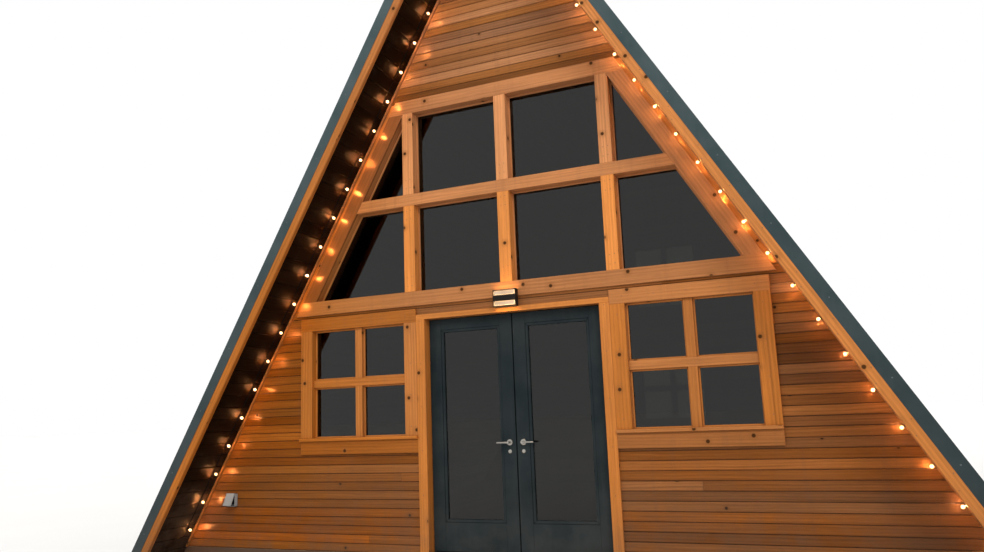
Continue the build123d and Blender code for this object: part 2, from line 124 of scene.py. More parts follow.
# Light strings
STRINGS = ((0.141, 0.3046), (0.169, 0.3026))  # first socket and pitch, left and right
SOCKETS = 23
CABLE = 0.0043  # from the soffit to the sockets
STRING_Y = -FACE - 0.095

RIGHT, FORWARD, UP = Vector((1, 0, 0)), Vector((0, 1, 0)), Vector((0, 0, 1))
OBLIQUE = Vector((0.31, 0.27, 0.91))  # grain on the ends of boards
SIDES = ((-1, "left"), (1, "right"))
ENDS = ((-1, "front"), (1, "back"))
WHITE, BLACK = (1.0, 1.0, 1.0), (0.0, 0.0, 0.0)


def rake_x(depth, z):
    """Half-width at height z of the rake line that lies depth outside the soffit plane."""
    return (APEX - z) / RISE + depth / SINE


def rake_band(side, inner, outer, bottom=FOOT):
    """Outline in X and Z of a board along one rake, mitred on the centre line."""
    feet = [(side * rake_x(depth, bottom), bottom) for depth in (inner, outer)]
    return feet + [(0.0, APEX + depth / COSINE) for depth in (outer, inner)]


def rake_strip(side, inner, outer, low, high):
    """Outline of a board along one rake, cut level at both ends."""
    corners = ((inner, low), (outer, low), (outer, high), (inner, high))
    return [(side * rake_x(depth, z), z) for depth, z in corners]


def rake_frame(depth, low, high):
    """Outline between both rakes."""
    x0, x1 = rake_x(depth, low), rake_x(depth, high)
    return [(-x0, low), (x0, low), (x1, high), (-x1, high)]


def down_slope(side):
    return Vector((side * COSINE, 0, -SINE))


def outward(side):
    return Vector((side * SINE, 0, COSINE))


def on_slope(side, along, depth, y=0.0):
    """Point at a distance down the slope from the ridge and a depth outside the soffit plane."""
    return Vector((0, y, APEX)) + down_slope(side) * along + outward(side) * depth


def rectangle(x, z):
    """Outline between two planes in X and two levels, each pair in any order."""
    (x0, x1), (z0, z1) = sorted(x), sorted(z)
    return [(x0, z0), (x1, z0), (x1, z1), (x0, z1)]


def about(middle, half):
    return middle - half, middle + half


def mixed(a, b, f):
    return tuple(x + (y - x) * f for x, y in zip(a, b))


# Sizes and colours that a user may change

Length = partial(bpy.props.FloatProperty, unit="LENGTH")
Angle = partial(bpy.props.FloatProperty, subtype="ANGLE")
Colour = partial(bpy.props.FloatVectorProperty, subtype="COLOR", size=3)
Number = bpy.props.FloatProperty
Count = bpy.props.IntProperty


class CabinSidingSettings(bpy.types.PropertyGroup):
    """Horizontal boards of both gables."""

    pitch: Length(name="Course", description="Height of one course of boards", default=0.0766)
    first_joint: Length(name="First Joint", description="Height of the lowest joint", default=0.1468)
    chamfer: Length(name="Chamfer", description="Width of the chamfer along each joint", default=0.005)
    gap: Length(name="Gap", description="Open joint between two courses", default=0.0042)
    seed: Count(name="Seed", description="Order of tones and board ends", default=11)
    pale: Colour(name="Pale Cedar", description="Lightest boards", default=(0.372, 0.158, 0.060))
    dark: Colour(name="Dark Cedar", description="Darkest boards", default=(0.125, 0.050, 0.020))


class CabinTrimSettings(bpy.types.PropertyGroup):
    """Casings, posts, rails, battens and barge boards."""

    edge: Length(name="Eased Edge", description="Width of the eased edge of each board", default=0.002)
    bead: Length(name="Glazing Bead", description="Width of the beads round each pane", default=0.013)
    nail_radius: Length(name="Nail Head", description="Radius of a nail head", default=0.0035)
    pale: Colour(name="Pale Trim", description="Lightest trim boards", default=(0.660, 0.272, 0.086))
    dark: Colour(name="Dark Trim", description="Darkest trim boards", default=(0.250, 0.094, 0.029))


class CabinRoofSettings(bpy.types.PropertyGroup):
    """Soffit boards, metal sheets and their screws."""

    boards: Count(name="Soffit Boards", description="Boards on each slope", default=56, min=1)
    board_thickness: Length(name="Board Thickness", description="Thickness of soffit boards", default=0.012)
    screw_rows: Count(name="Screw Rows", description="Rows of screws down each slope", default=12, min=2)
    rib_pitch: Length(name="Rib Pitch", description="Distance between ribs", default=0.229)
    metal: Colour(name="Metal Paint", description="Paint of the roofing", default=(0.018, 0.034, 0.037))
    stain: Colour(name="Soffit Stain", description="Stain of soffit boards", default=(0.0105, 0.0042, 0.0017))


class CabinDoorSettings(bpy.types.PropertyGroup):
    """Painted door leaves and their metal parts."""

    bead: Length(name="Glazing Bead", description="Width of the bead round the pane", default=0.026)
    paint: Colour(name="Door Paint", description="Paint of the leaves", default=(0.0082, 0.0142, 0.0162))


class CabinLightSettings(bpy.types.PropertyGroup):
    """Light strings and the wall light."""

    bulb_radius: Length(name="Bulb Radius", description="Radius of a bulb", default=0.0130)
    socket_length: Length(name="Socket Length", description="From the cable to the bulb", default=0.026)
    glow: Colour(name="Glow", description="Colour of the lit bulbs", default=(1.0, 0.52, 0.21))
    strength: Number(name="Strength", description="Emission strength of the bulbs", default=105.0, min=0.0)


class CabinStageSettings(bpy.types.PropertyGroup):
    """Floor, camera and lamps."""

    lens: Number(name="Lens", description="Focal length, millimetres", default=29.2)
    position: bpy.props.FloatVectorProperty(
        name="Camera",
        description="Place of the camera",
        subtype="TRANSLATION",
        unit="LENGTH",
        size=3,
        default=(2.5676, -9.9977, 1.2975),
    )
    yaw: Angle(name="Yaw", description="Turn to the left", default=math.radians(23.1002))
    pitch: Angle(name="Pitch", description="Tilt upwards", default=math.radians(10.014))
    roll: Angle(name="Roll", description="Turn about the view axis", default=math.radians(2.1554))
    sun: Number(name="Key Light", description="Strength of the key light", default=1.5)
    sky: Number(name="Sky Light", description="Strength of the even light", default=0.85)


def settings(name):
    return getattr(bpy.context.scene, "cabin_" + name)


# Node trees


class Tree:
    """Short calls that add and join nodes in one node tree."""

    def __init__(self, tree):
        self.tree = tree

    def add(self, kind, inputs=None, **values):
        """Adds a node and links or sets its inputs; a colour may leave its alpha out."""
        node = self.tree.nodes.new(kind)
        for name, value in values.items():
            setattr(node, name, value)
        for key, value in (inputs or {}).items():
            socket = node.inputs[key]
            if isinstance(value, bpy.types.NodeSocket):
                self.tree.links.new(value, socket)
            elif socket.type == "RGBA":
                socket.default_value = (*value[:3], 1.0)
            else:
                socket.default_value = value
        return node

    def first(self, kind, inputs=None, **values):
        return self.add(kind, inputs, **values).outputs[0]

    def math(self, operation, *values):
        return self.first("ShaderNodeMath", dict(enumerate(values)), operation=operation)

    def times(self, a, b):
        return self.math("MULTIPLY", a, b)

    def ranged(self, value, low, high, to_low=0.0, to_high=1.0, smooth=False):
        inputs = {0: value, 1: low, 2: high, 3: to_low, 4: to_high}
        kind = "SMOOTHSTEP" if smooth else "LINEAR"
        return self.first("ShaderNodeMapRange", inputs, interpolation_type=kind)

    def noise(self, vector, scale, detail=3.0, roughness=0.5):
        inputs = {"Vector": vector, "Scale": scale, "Detail": detail, "Roughness": roughness}
        return self.first("ShaderNodeTexNoise", inputs)

    def scaled(self, vector, x, y, z):
        return self.first("ShaderNodeVectorMath", {0: vector, 1: (x, y, z)}, operation="MULTIPLY")

    def axes(self, vector):
        return self.add("ShaderNodeSeparateXYZ", {0: vector}).outputs

    def joined(self, x, y, z):
        return self.first("ShaderNodeCombineXYZ", {0: x, 1: y, 2: z})

    def attribute(self, name):
        return self.add("ShaderNodeAttribute", attribute_name=name).outputs["Fac"]

    def mix(self, factor, a, b, blend="MIX"):
        """Mixes two colours, or blends them by name."""
        inputs = {0: factor, 6: a, 7: b}
        return self.add("ShaderNodeMix", inputs, data_type="RGBA", blend_type=blend).outputs[2]

    def tint(self, colour, by):
        return self.mix(1.0, colour, by, "MULTIPLY")

    def shade(self, colour, value):
        grey = self.first("ShaderNodeCombineColor", {0: value, 1: value, 2: value})
        return self.tint(colour, grey)

    def over(self, colour, mask, amount, top):
        """Lays another colour over the first where a mask is."""
        return self.mix(self.times(mask, amount), colour, top)

    def bump(self, height, strength, distance):
        inputs = {"Height": height, "Strength": strength, "Distance": distance}
        return self.first("ShaderNodeBump", inputs)


def node_group(name, kind, inputs, build, gives="NodeSocketFloat"):
    """Makes a node tree with named sockets once, and hands it back after that."""
    tree = bpy.data.node_groups.get(name)
    if tree is None:
        tree = bpy.data.node_groups.new(name, kind)
        for label, (socket, default) in inputs.items():
            made = tree.interface.new_socket(name=label, in_out="INPUT", socket_type="NodeSocket" + socket)
            if default is not None:
                made.default_value = default
        results = build(Tree(tree), tree.nodes.new("NodeGroupInput").outputs)
        for label in results:
            tree.interface.new_socket(name=label, in_out="OUTPUT", socket_type=gives)
        end = tree.nodes.new("NodeGroupOutput")
        for label, socket in results.items():
            tree.links.new(socket, end.inputs[label])
    return tree


def timber_grain(t, given):
    """Streaks, growth rings, fibres and knots of a sawn board."""
    vector = given["Vector"]
    x, y, z = t.axes(vector)
    drift = t.noise(t.scaled(vector, 0.8, 5.0, 1.0), 1.0, 2.0)
    bent = t.math("ADD", y, t.times(drift, 0.05))
    moved = t.joined(x, bent, z)
    streak = t.noise(t.scaled(moved, 1.1, 75.0, 1.0), 1.0, 5.0, 0.65)
    rings = t.ranged(t.math("SINE", t.times(bent, given["Ring Density"])), -1.0, 1.0)
    fibre = t.noise(t.scaled(moved, 9.0, 520.0, 1.0), 1.0, 3.0, 0.7)
    grain = t.math("ADD", t.times(streak, 0.56), t.times(rings, 0.08))
    grain = t.math("ADD", grain, t.times(fibre, 0.44))
    patch = t.noise(t.scaled(vector, 1.3, 4.0, 1.0), 1.0, 2.0)
    cell = {"Vector": t.scaled(vector, 3.1, 3.1, 1.0), "Scale": 1.0, "Randomness": 0.9}
    distance, chance = t.add("ShaderNodeTexVoronoi", cell, voronoi_dimensions="2D").outputs[:2]
    chance = t.first("ShaderNodeSeparateColor", {0: chance})
    chosen = t.math("GREATER_THAN", chance, given["Knot Level"])
    reach = t.math("DIVIDE", distance, given["Knot Radius"])
    core = t.times(t.ranged(reach, 0.55, 1.0, 1.0, 0.0, smooth=True), chosen)
    halo = t.times(t.ranged(reach, 0.8, 2.8, 1.0, 0.0, smooth=True), chosen)
    height = t.math("SUBTRACT", grain, t.times(core, 0.6))
    return {"Grain": grain, "Patch": patch, "Knot": core, "Halo": halo, "Height": height}


def grime(t, given):
    """Dirt that thickens towards the ground, and rain streaks."""
    vector = given["Vector"]
    low = t.ranged(t.axes(vector)[2], 0.0, given["High"], 1.0, 0.0, smooth=True)
    cloud = t.noise(vector, 2.6, 4.0, 0.65)
    drip = t.noise(t.scaled(vector, 14.0, 14.0, 0.8), 1.0, 3.0, 0.6)
    splash = t.times(low, t.ranged(cloud, 0.30, 0.62, smooth=True))
    return {"Splash": splash, "Streak": t.ranged(drip, 0.52, 0.80, smooth=True)}


def coating_film(t, given):
    """Fine unevenness and scuffs of a coated surface."""
    vector = given["Vector"]
    fine = t.noise(vector, given["Grain Scale"], 3.0, 0.6)
    broad = t.noise(vector, 3.0, 4.0, 0.6)
    scuff = t.noise(t.scaled(vector, 9.0, 9.0, 30.0), 4.0, 5.0, 0.7)
    return {"Fine": fine, "Broad": broad, "Scuff": t.ranged(scuff, 0.60, 0.72, smooth=True)}


EFFECTS = {
    timber_grain: {"Ring Density": 260.0, "Knot Level": 0.7, "Knot Radius": 0.04},
    grime: {"High": 1.4},
    coating_film: {"Grain Scale": 400.0},
}


def effect(t, build, vector, **values):
    """Adds a shared effect with a material's own values, and gives its outputs."""
    inputs = {"Vector": ("Vector", None)}
    inputs.update({label: ("Float", default) for label, default in EFFECTS[build].items()})
    tree = node_group(build.__name__, "ShaderNodeTree", inputs, build)
    own = {label.replace("_", " ").title(): value for label, value in values.items()}
    return t.add("ShaderNodeGroup", {"Vector": vector, **own}, node_tree=tree).outputs


# Finishes: each gives the inputs of its material's shader


def wood(t, pale, dark, contrast, knots, shine, rings=260.0, knot_radius=0.045, rough=(0.52, 0.78),
         low_dirt=1.3, low=WHITE, high=WHITE, west_shade=WHITE):
    """Boards with a grain along their UV map and a tone for each board."""
    tone = t.attribute("tone")
    u, v, _ = t.axes(t.first("ShaderNodeUVMap", uv_map="UVMap"))
    vector = t.joined(u, v, t.times(tone, 91.0))
    grain = effect(t, timber_grain, vector, ring_density=rings, knot_level=knots, knot_radius=knot_radius)
    dirt = effect(t, grime, t.place, high=low_dirt)
    ramp = t.add("ShaderNodeValToRGB", {0: tone})
    steps = [(0.0, dark), (0.3, mixed(dark, pale, 0.38)), (0.7, mixed(dark, pale, 0.68)), (1.0, pale)]
    for _ in steps[2:]:
        ramp.color_ramp.elements.new(0.5)
    for element, (at, colour) in zip(ramp.color_ramp.elements, steps):
        element.position = at
        element.color = (*colour, 1.0)
    shade = t.ranged(grain["Grain"], 0.30, 0.78, 1.0 + contrast * 0.45, 1.0 - contrast * 0.65)
    colour = t.shade(ramp.outputs[0], shade)
    x, _, z = t.axes(t.place)
    for factor, a, b in (
        (t.attribute("hue"), (0.93, 1.04, 1.30), (1.07, 0.95, 0.60)),
        (t.ranged(grain["Patch"], 0.35, 0.70), (1.06, 1.00, 0.94), (0.92, 0.88, 0.86)),
        # Painted shade and sky light: darker and warmer near the ground, lighter and bluer up high.
        (t.ranged(z, 0.3, 5.0), low, high),
        # Painted shade on the left side: darker and warmer below x = -0.7 m, fully so below -2.2 m.
        (t.ranged(x, -2.2, -0.7), west_shade, WHITE),
    ):
        colour = t.tint(colour, t.mix(factor, a, b))
    for mask, amount, top in (
        (grain["Halo"], 0.35, mixed(dark, BLACK, 0.2)),
        (grain["Knot"], 0.95, mixed(dark, BLACK, 0.85)),
        (dirt["Streak"], 0.22, mixed(dark, (0.06, 0.05, 0.045), 0.5)),
        (dirt["Splash"], 0.42, (0.085, 0.062, 0.045)),
    ):
        colour = t.over(colour, mask, amount, top)
    return {
        "Base Color": colour,
        "Roughness": t.ranged(grain["Grain"], 0.3, 0.8, *rough),
        "Specular IOR Level": shine,
        "Specular Tint": (1.0, 0.68, 0.40),
        "Normal": t.bump(grain["Height"], 0.35, 0.0012),
    }


def panelled(t, pale, dark, across, along, pitch, where, other):
    """Boards drawn on a CAD face, with a joint at each pitch across them."""
    parts = t.axes(t.place)
    board = t.math("DIVIDE", parts[across], pitch)
    tone = t.first("ShaderNodeTexWhiteNoise", {"W": t.math("FLOOR", board)}, noise_dimensions="1D")
    vector = t.joined(parts[along], parts[across], t.times(tone, 53.0))
    grain = effect(t, timber_grain, vector)
    film = effect(t, coating_film, t.place)
    colour = t.shade(t.mix(tone, dark, pale), t.ranged(grain["Grain"], 0.30, 0.78, 1.15, 0.72))
    off = t.math("ABSOLUTE", t.math("SUBTRACT", t.math("FRACT", board), 0.5))
    gap = t.math("GREATER_THAN", off, 0.5 - 0.0025 / pitch)
    colour = t.over(colour, gap, 0.8, mixed(dark, BLACK, 0.7))
    colour = t.over(colour, grain["Knot"], 0.7, mixed(dark, BLACK, 0.6))
    return {
        "Base Color": t.mix(where(t, parts), colour, other),
        "Roughness": t.ranged(film["Broad"], 0.3, 0.7, 0.42, 0.66),
        "Specular IOR Level": 0.15,
        "Normal": t.bump(t.math("SUBTRACT", grain["Height"], t.times(gap, 2.0)), 0.4, 0.0015),
    }


def coated(t, colour, rough, grain, lift=0.12, dirt=0.3, metallic=0.0, wear=None, bumps=0.12,
           shine=0.25, painted_sky_reflection=None):
    """Painted, galvanised or moulded surface with dust, scuffs and rain streaks, and, where asked, a painted
    sky reflection: darker low down, lighter high up.
    """
    film = effect(t, coating_film, t.place, grain_scale=grain)
    soil = effect(t, grime, t.place, high=1.0)
    broad = t.ranged(film["Broad"], 0.3, 0.7)
    base = t.mix(broad, mixed(colour, BLACK, lift), mixed(colour, WHITE, lift * 0.25))
    base = t.over(base, soil["Streak"], dirt * 0.5, mixed(colour, (0.30, 0.28, 0.24), 0.5))
    base = t.over(base, soil["Splash"], dirt, (0.16, 0.13, 0.10))
    if wear:
        base = t.over(base, film["Scuff"], 0.5, wear)
    # Painted sky reflection: the colour darkens low down and lightens high up.
    if painted_sky_reflection:
        height = t.ranged(t.axes(t.place)[2], 0.5, 6.0)
        base = t.tint(base, t.mix(height, (painted_sky_reflection[0],) * 3, (painted_sky_reflection[1],) * 3))
    return {
        "Base Color": base,
        "Roughness": t.ranged(film["Broad"], 0.3, 0.7, rough - 0.07, rough + 0.10),
        "Metallic": metallic,
        "Specular IOR Level": shine,
        "Normal": t.bump(film["Fine"], bumps, 0.0006),
    }


def glazing(t, tint):
    """Pane of glass with faint dust and streaks."""
    film = effect(t, coating_film, t.place, grain_scale=1.2)
    streak = effect(t, grime, t.place)["Streak"]
    return {
        "Base Color": t.over(tint, streak, 0.4, mixed(tint, BLACK, 0.35)),
        "Roughness": t.ranged(film["Broad"], 0.45, 0.75, 0.012, 0.05),
        "Transmission Weight": 1.0,
        "IOR": 1.45,
        "Normal": t.bump(film["Fine"], 0.03, 0.004),
    }


def glowing(t, colour, strength, seen, body=(0.9, 0.8, 0.65), gleam=1.0):
    """Lit glass: one strength as it is seen, others as it lights the boards and gleams on them."""
    film = effect(t, coating_film, t.place)
    path = t.add("ShaderNodeLightPath").outputs
    power = t.ranged(path["Is Glossy Ray"], 0.0, 1.0, strength, strength * gleam)
    return {
        "Base Color": t.mix(t.ranged(film["Broad"], 0.3, 0.7), body, mixed(body, WHITE, 0.3)),
        "Roughness": 0.25,
        "Emission Color": colour,
        "Emission Strength": t.ranged(path["Is Camera Ray"], 0.0, 1.0, power, seen),
        "Normal": t.bump(film["Fine"], 0.05, 0.0003),
    }


# Marks the wall core's outer face, which is painted near black as the shade in the siding joints.
def behind_the_walls(t, parts):
    return t.math("GREATER_THAN", t.math("ABSOLUTE", parts[1]), INSIDE + 0.05)


def under_the_floor(t, parts):
    return t.math("LESS_THAN", parts[2], FLOOR - 0.001)


def recipes():
    """The finish of every material, with the colours from the settings."""
    siding, trim, roof, door, light = map(settings, ("siding", "trim", "roof", "door", "light"))
    return {
        "cedar_siding": partial(
            wood, pale=siding.pale, dark=siding.dark, contrast=0.85, knots=0.84, shine=0.05,
            # The low, high and left-side tints paint shade and sky light on the siding: darker near the
            # ground and on the left, bluer up high.
            rough=(0.31, 0.39), low=(0.72, 0.60, 0.40), high=(1.19, 1.26, 1.38), west_shade=(0.94, 0.80, 0.38),
        ),
        "cedar_trim": partial(
            wood, pale=trim.pale, dark=trim.dark, contrast=0.70, knots=0.48, shine=0.06, rings=210.0,
            # The low, high and left-side tints paint the same shade and sky light on the trim.
            knot_radius=0.060, rough=(0.28, 0.40), low_dirt=0.9, low=(0.86, 0.84, 0.80),
            high=(1.02, 1.06, 1.30), west_shade=(0.98, 0.88, 0.56),
        ),
        "dark_boards": partial(
            wood, pale=mixed(roof.stain, (0.55, 0.28, 0.12), 0.014), dark=mixed(roof.stain, BLACK, 0.2),
            contrast=0.7, knots=0.8, shine=0.012,
        ),
        "room_boards": partial(
            panelled, pale=(0.46, 0.27, 0.13), dark=(0.30, 0.165, 0.075), across=2, along=0, pitch=0.135,
            # Painted shade: the wall core's outer face, seen only through the siding joints, is near black to
            # stand in for the shade in those joints.
            where=behind_the_walls, other=(0.040, 0.020, 0.012),
        ),
        "platform_wood": partial(
            panelled, pale=(0.34, 0.20, 0.10), dark=(0.20, 0.11, 0.055), across=0, along=1, pitch=0.140,
            where=under_the_floor, other=(0.075, 0.045, 0.030),
        ),
        "green_metal": partial(
            coated, colour=roof.metal, rough=0.44, grain=900.0, lift=0.07, dirt=0.10, bumps=0.04,
            # The metal's painted sky reflection: darker near the eaves, lighter towards the ridge.
            shine=0.24, painted_sky_reflection=(0.62, 1.75),
        ),
        "door_paint": partial(
            coated, colour=door.paint, rough=0.50, grain=700.0, lift=0.05, dirt=0.10, bumps=0.06, shine=0.08
        ),
        "window_glass": partial(glazing, tint=(0.085, 0.088, 0.074)),
        "handle_metal": partial(
            coated, colour=(0.42, 0.40, 0.36), rough=0.30, grain=900.0, metallic=1.0,
            wear=(0.25, 0.22, 0.18), shine=0.5,
        ),
        "black_metal": partial(
            coated, colour=(0.012, 0.0095, 0.008), rough=0.50, grain=900.0, lift=0.02, dirt=0.05,
            wear=(0.035, 0.030, 0.026), shine=0.06,
        ),
        "grey_plastic": partial(coated, colour=(0.30, 0.31, 0.31), rough=0.48, grain=500.0, dirt=0.4),
        "black_cable": partial(
            coated, colour=(0.006, 0.006, 0.006), rough=0.7, grain=700.0, lift=0.01, dirt=0.02, shine=0.0
        ),
        "screw_paint": partial(coated, colour=mixed(roof.metal, WHITE, 0.05), rough=0.38, grain=900.0),
        "nail_steel": partial(
            coated, colour=(0.10, 0.085, 0.075), rough=0.5, grain=900.0, metallic=0.7
        ),
        "lit_bulb": partial(
            glowing, colour=light.glow, strength=light.strength, seen=3.4, gleam=32.0
        ),
        "lit_lens": partial(
            glowing, colour=(1.0, 0.60, 0.28), strength=22.0, seen=0.46, body=(0.10, 0.07, 0.04)
        ),
        "floor_paint": lambda t: {
            "Base Color": t.mix(t.noise(t.place, 0.6), (0.80, 0.79, 0.77), (0.84, 0.83, 0.81)),
            "Roughness": 0.85,
        },
    }


_made_materials = {}


def material(name):
    """Makes each finish once."""
    if name not in _made_materials:
        made = bpy.data.materials.new(name)
        made.use_nodes = True
        made.node_tree.nodes.clear()
        t = Tree(made.node_tree)
        t.place = t.add("ShaderNodeTexCoord").outputs["Object"]
        shader = t.first("ShaderNodeBsdfPrincipled", recipes()[name](t))
        t.add("ShaderNodeOutputMaterial", {0: shader})
        _made_materials[name] = made
    return _made_materials[name]


# Meshes


def solid(rings):
    """Closed form between rings of points, of which the first and the last may be one point."""
    part = bmesh.new()
    rings = [[part.verts.new(point) for point in ring] for ring in rings]
    for lower, upper in zip(rings, rings[1:]):
        for i in range(max(len(lower), len(upper))):
            corners = ((lower, i), (lower, i + 1), (upper, i + 1), (upper, i))
            part.faces.new(dict.fromkeys(ring[k % len(ring)] for ring, k in corners))
    for ring in (rings[0][::-1], rings[-1]):
        if len(ring) > 1:
            part.faces.new(ring)
    bmesh.ops.recalc_face_normals(part, faces=part.faces[:])
    return part


def ease(part, edges, width, segments):
    bmesh.ops.bevel(part, geom=edges, offset=width, segments=segments, affect="EDGES", clamp_overlap=True)


def soften(mesh, degrees):
    mesh.shade_smooth()
    mesh.set_sharp_from_angle(angle=math.radians(degrees))


def barrel(length, radius, end, drop):
    """Profile of a pin whose ends are eased."""
    return [(0, radius - drop), (end, radius), (length - end, radius), (length, radius - drop)]


class Boards:
    """Collects separate boards in one mesh, each with its grain in the UV map and its own tone."""

    def __init__(self, seed=0, hue=None):
        self.points, self.faces, self.uvs, self.tones, self.hues, self.slots = [], [], [], [], [], []
        self.random = random.Random(seed)
        self.hue = hue  # of the boards added next, 0 greyish to 1 golden; None gives each its own

    def take(self, part, along, tone, slot=0):
        """Adds a finished small mesh, with the grain laid along a direction."""
        shift = (self.random.uniform(0, 40), self.random.uniform(0, 40))
        hue = self.random.random() if self.hue is None else self.hue
        first = len(self.points)
        part.normal_update()
        part.verts.index_update()
        self.points += [v.co.copy() for v in part.verts]
        for face in part.faces:
            across = face.normal.cross(along)
            if across.length < 0.2:
                across = face.normal.cross(OBLIQUE.cross(face.normal))
            across.normalize()
            lengthwise = across.cross(face.normal).normalized()
            self.faces.append([first + v.index for v in face.verts])
            for v in face.verts:
                self.uvs += [v.co.dot(lengthwise) + shift[0], v.co.dot(across) + shift[1]]
            self.tones.append(tone)
            self.hues.append(hue)
            self.slots.append(slot)
        part.free()

    def prism(self, outline, near, far, along, tone, edge, long_only=False):
        """Board with an outline in X and Z between two Y planes; the edges of the near face are eased."""
        part = solid([[(x, y, z) for x, z in outline] for y in (near, far)])
        chosen = []
        for e in part.edges:
            a, b = (v.co for v in e.verts)
            if max(abs(a.y - near), abs(b.y - near)) < 1e-6:
                if not long_only or abs((b - a).normalized().dot(along)) > 0.99:
                    chosen.append(e)
        if edge:
            ease(part, chosen, edge, 1)
        self.take(part, along, tone)

    def ring(self, outline, width, near, far, tone, edge=0.0015):
        """Mitred strips round the inside of a convex outline."""
        inner = inset(outline, width)
        for i, corner in enumerate(outline):
            j = (i + 1) % len(outline)
            x, z = outline[j][0] - corner[0], outline[j][1] - corner[1]
            strip = [corner, outline[j], inner[j], inner[i]]
            self.prism(strip, near, far, Vector((x, 0, z)).normalized(), tone, edge)

    def box(self, x, y, z, along, edge, slot=0):
        """Box between two planes on each axis, with every edge eased."""
        part = bmesh.new()
        bmesh.ops.create_cube(part, size=1.0)
        for v in part.verts:
            v.co = [max(span) if c > 0 else min(span) for c, span in zip(v.co, (x, y, z))]
        if edge:
            ease(part, part.edges[:], edge, 2)
        self.take(part, along, 0.5, slot)

    def lathe(self, profile, base, axis, steps, slot=0):
        """Turned form: profile holds (distance along the axis, radius), closed at both ends."""
        turn = UP.rotation_difference(axis)
        rings = []
        for along, r in profile:
            angles = [2 * math.pi * i / steps for i in range(steps if r > 1e-6 else 1)]
            ring = [Vector((r * math.cos(a), r * math.sin(a), along)) for a in angles]
            rings.append([turn @ point + Vector(base) for point in ring])
        self.take(solid(rings), axis, 0.5, slot)

    def finish(self, name, materials, replaces=(), body="cabin", smooth=None):
        """Makes the object, which rides on a CAD body."""
        mesh = bpy.data.meshes.new(name)
        mesh.from_pydata(self.points, [], self.faces)
        mesh.uv_layers.new(name="UVMap").data.foreach_set("uv", self.uvs)
        for label, values in (("tone", self.tones), ("hue", self.hues)):
            mesh.attributes.new(label, "FLOAT", "FACE").data.foreach_set("value", values)
        mesh.polygons.foreach_set("material_index", self.slots)
        for m in materials:
            mesh.materials.append(material(m))
        mesh.update()
        if smooth:
            soften(mesh, smooth)
        return add_piece(name, mesh, replaces, body)


def add_piece(name, mesh, replaces=(), body="cabin"):
    made = bpy.data.objects.new(name, mesh)
    bpy.context.scene.collection.objects.link(made)
    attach(made, body)
    if replaces:
        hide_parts(*replaces)
    return made


def add_joined(name, joined, finish, replaces=()):
    """Makes one object of joined forms in one finish."""
    mesh = bpy.data.meshes.new(name)
    joined.to_mesh(mesh)
    joined.free()
    mesh.materials.append(material(finish))
    add_piece(name, mesh, replaces)


def dress(node, name):
    """Gives a CAD node that keeps its shape a finish."""
    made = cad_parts[node]
    made.data.materials.clear()
    made.data.materials.append(material(name))


def inset(outline, width):
    """Moves each side of a convex outline inwards."""
    corners = [Vector(c) for c in outline]
    middle = sum(corners, Vector((0, 0))) / len(corners)
    lines = []
    for a, b in zip(corners, corners[1:] + corners[:1]):
        d = (b - a).normalized()
        n = Vector((-d.y, d.x))
        if n.dot(middle - a) < 0:
            n = -n
        lines.append((a + n * width, d))
    inner = []
    for i, (q, e) in enumerate(lines):
        p, d = lines[i - 1]
        reach = ((q.x - p.x) * e.y - (q.y - p.y) * e.x) / (d.x * e.y - d.y * e.x)
        inner.append(tuple(p + d * reach))
    return inner


def clip_to_rake(outline):
    """Cuts an outline off at the inner edge of the raked casings."""
    for side in (-1, 1):
        kept = []
        for last, point in zip(outline[-1:] + outline, outline):
            before, after = (rake_x(RAKE_CASING, z) - side * x for x, z in (last, point))
            if before * after < 0:
                kept.append(mixed(last, point, before / (before - after)))
            if after >= 0:
                kept.append(point)
        outline = kept
    return outline


# Layouts by Geometry Nodes


def row_of_pieces(t, given, shape):
    """A straight row of copies with a random tone for each."""
    inputs = {"Count": given["Count"], "Start Location": given["Start"], "Offset": given["Step"]}
    line = t.first("GeometryNodeMeshLine", inputs, mode="OFFSET")
    inputs = {"Points": line, "Instance": shape, "Rotation": given["Turn"]}
    placed = t.first("GeometryNodeInstanceOnPoints", inputs)
    tone = t.add("FunctionNodeRandomValue", {"Seed": given["Seed"]}, data_type="FLOAT").outputs[1]
    inputs = {"Geometry": placed, "Name": "tone", "Value": tone}
    return t.first("GeometryNodeStoreNamedAttribute", inputs, data_type="FLOAT", domain="INSTANCE")


def grid_of_fasteners(t, given, shape):
    """Rows and columns of copies on a flat sheet that is turned and moved as one."""
    inputs = {key: given[key] for key in ("Size X", "Size Y")}
    inputs.update({"Vertices " + axis: given["Count " + axis] for axis in "XY"})
    grid = t.first("GeometryNodeMeshGrid", inputs)
    placed = t.first("GeometryNodeInstanceOnPoints", {"Points": grid, "Instance": shape})
    inputs = {"Geometry": placed, "Translation": given["Centre"], "Rotation": given["Turn"]}
    return t.first("GeometryNodeTransform", inputs)


VECTOR = ("Vector", None)
LAYOUTS = {
    row_of_pieces: {"Count": ("Int", 2), "Start": VECTOR, "Step": VECTOR, "Turn": VECTOR, "Seed": ("Int", 1)},
    grid_of_fasteners: {
        **dict.fromkeys(("Size X", "Size Y"), ("Float", 1.0)),
        **dict.fromkeys(("Count X", "Count Y"), ("Int", 2)),
        **dict.fromkeys(("Centre", "Turn"), VECTOR),
    },
}


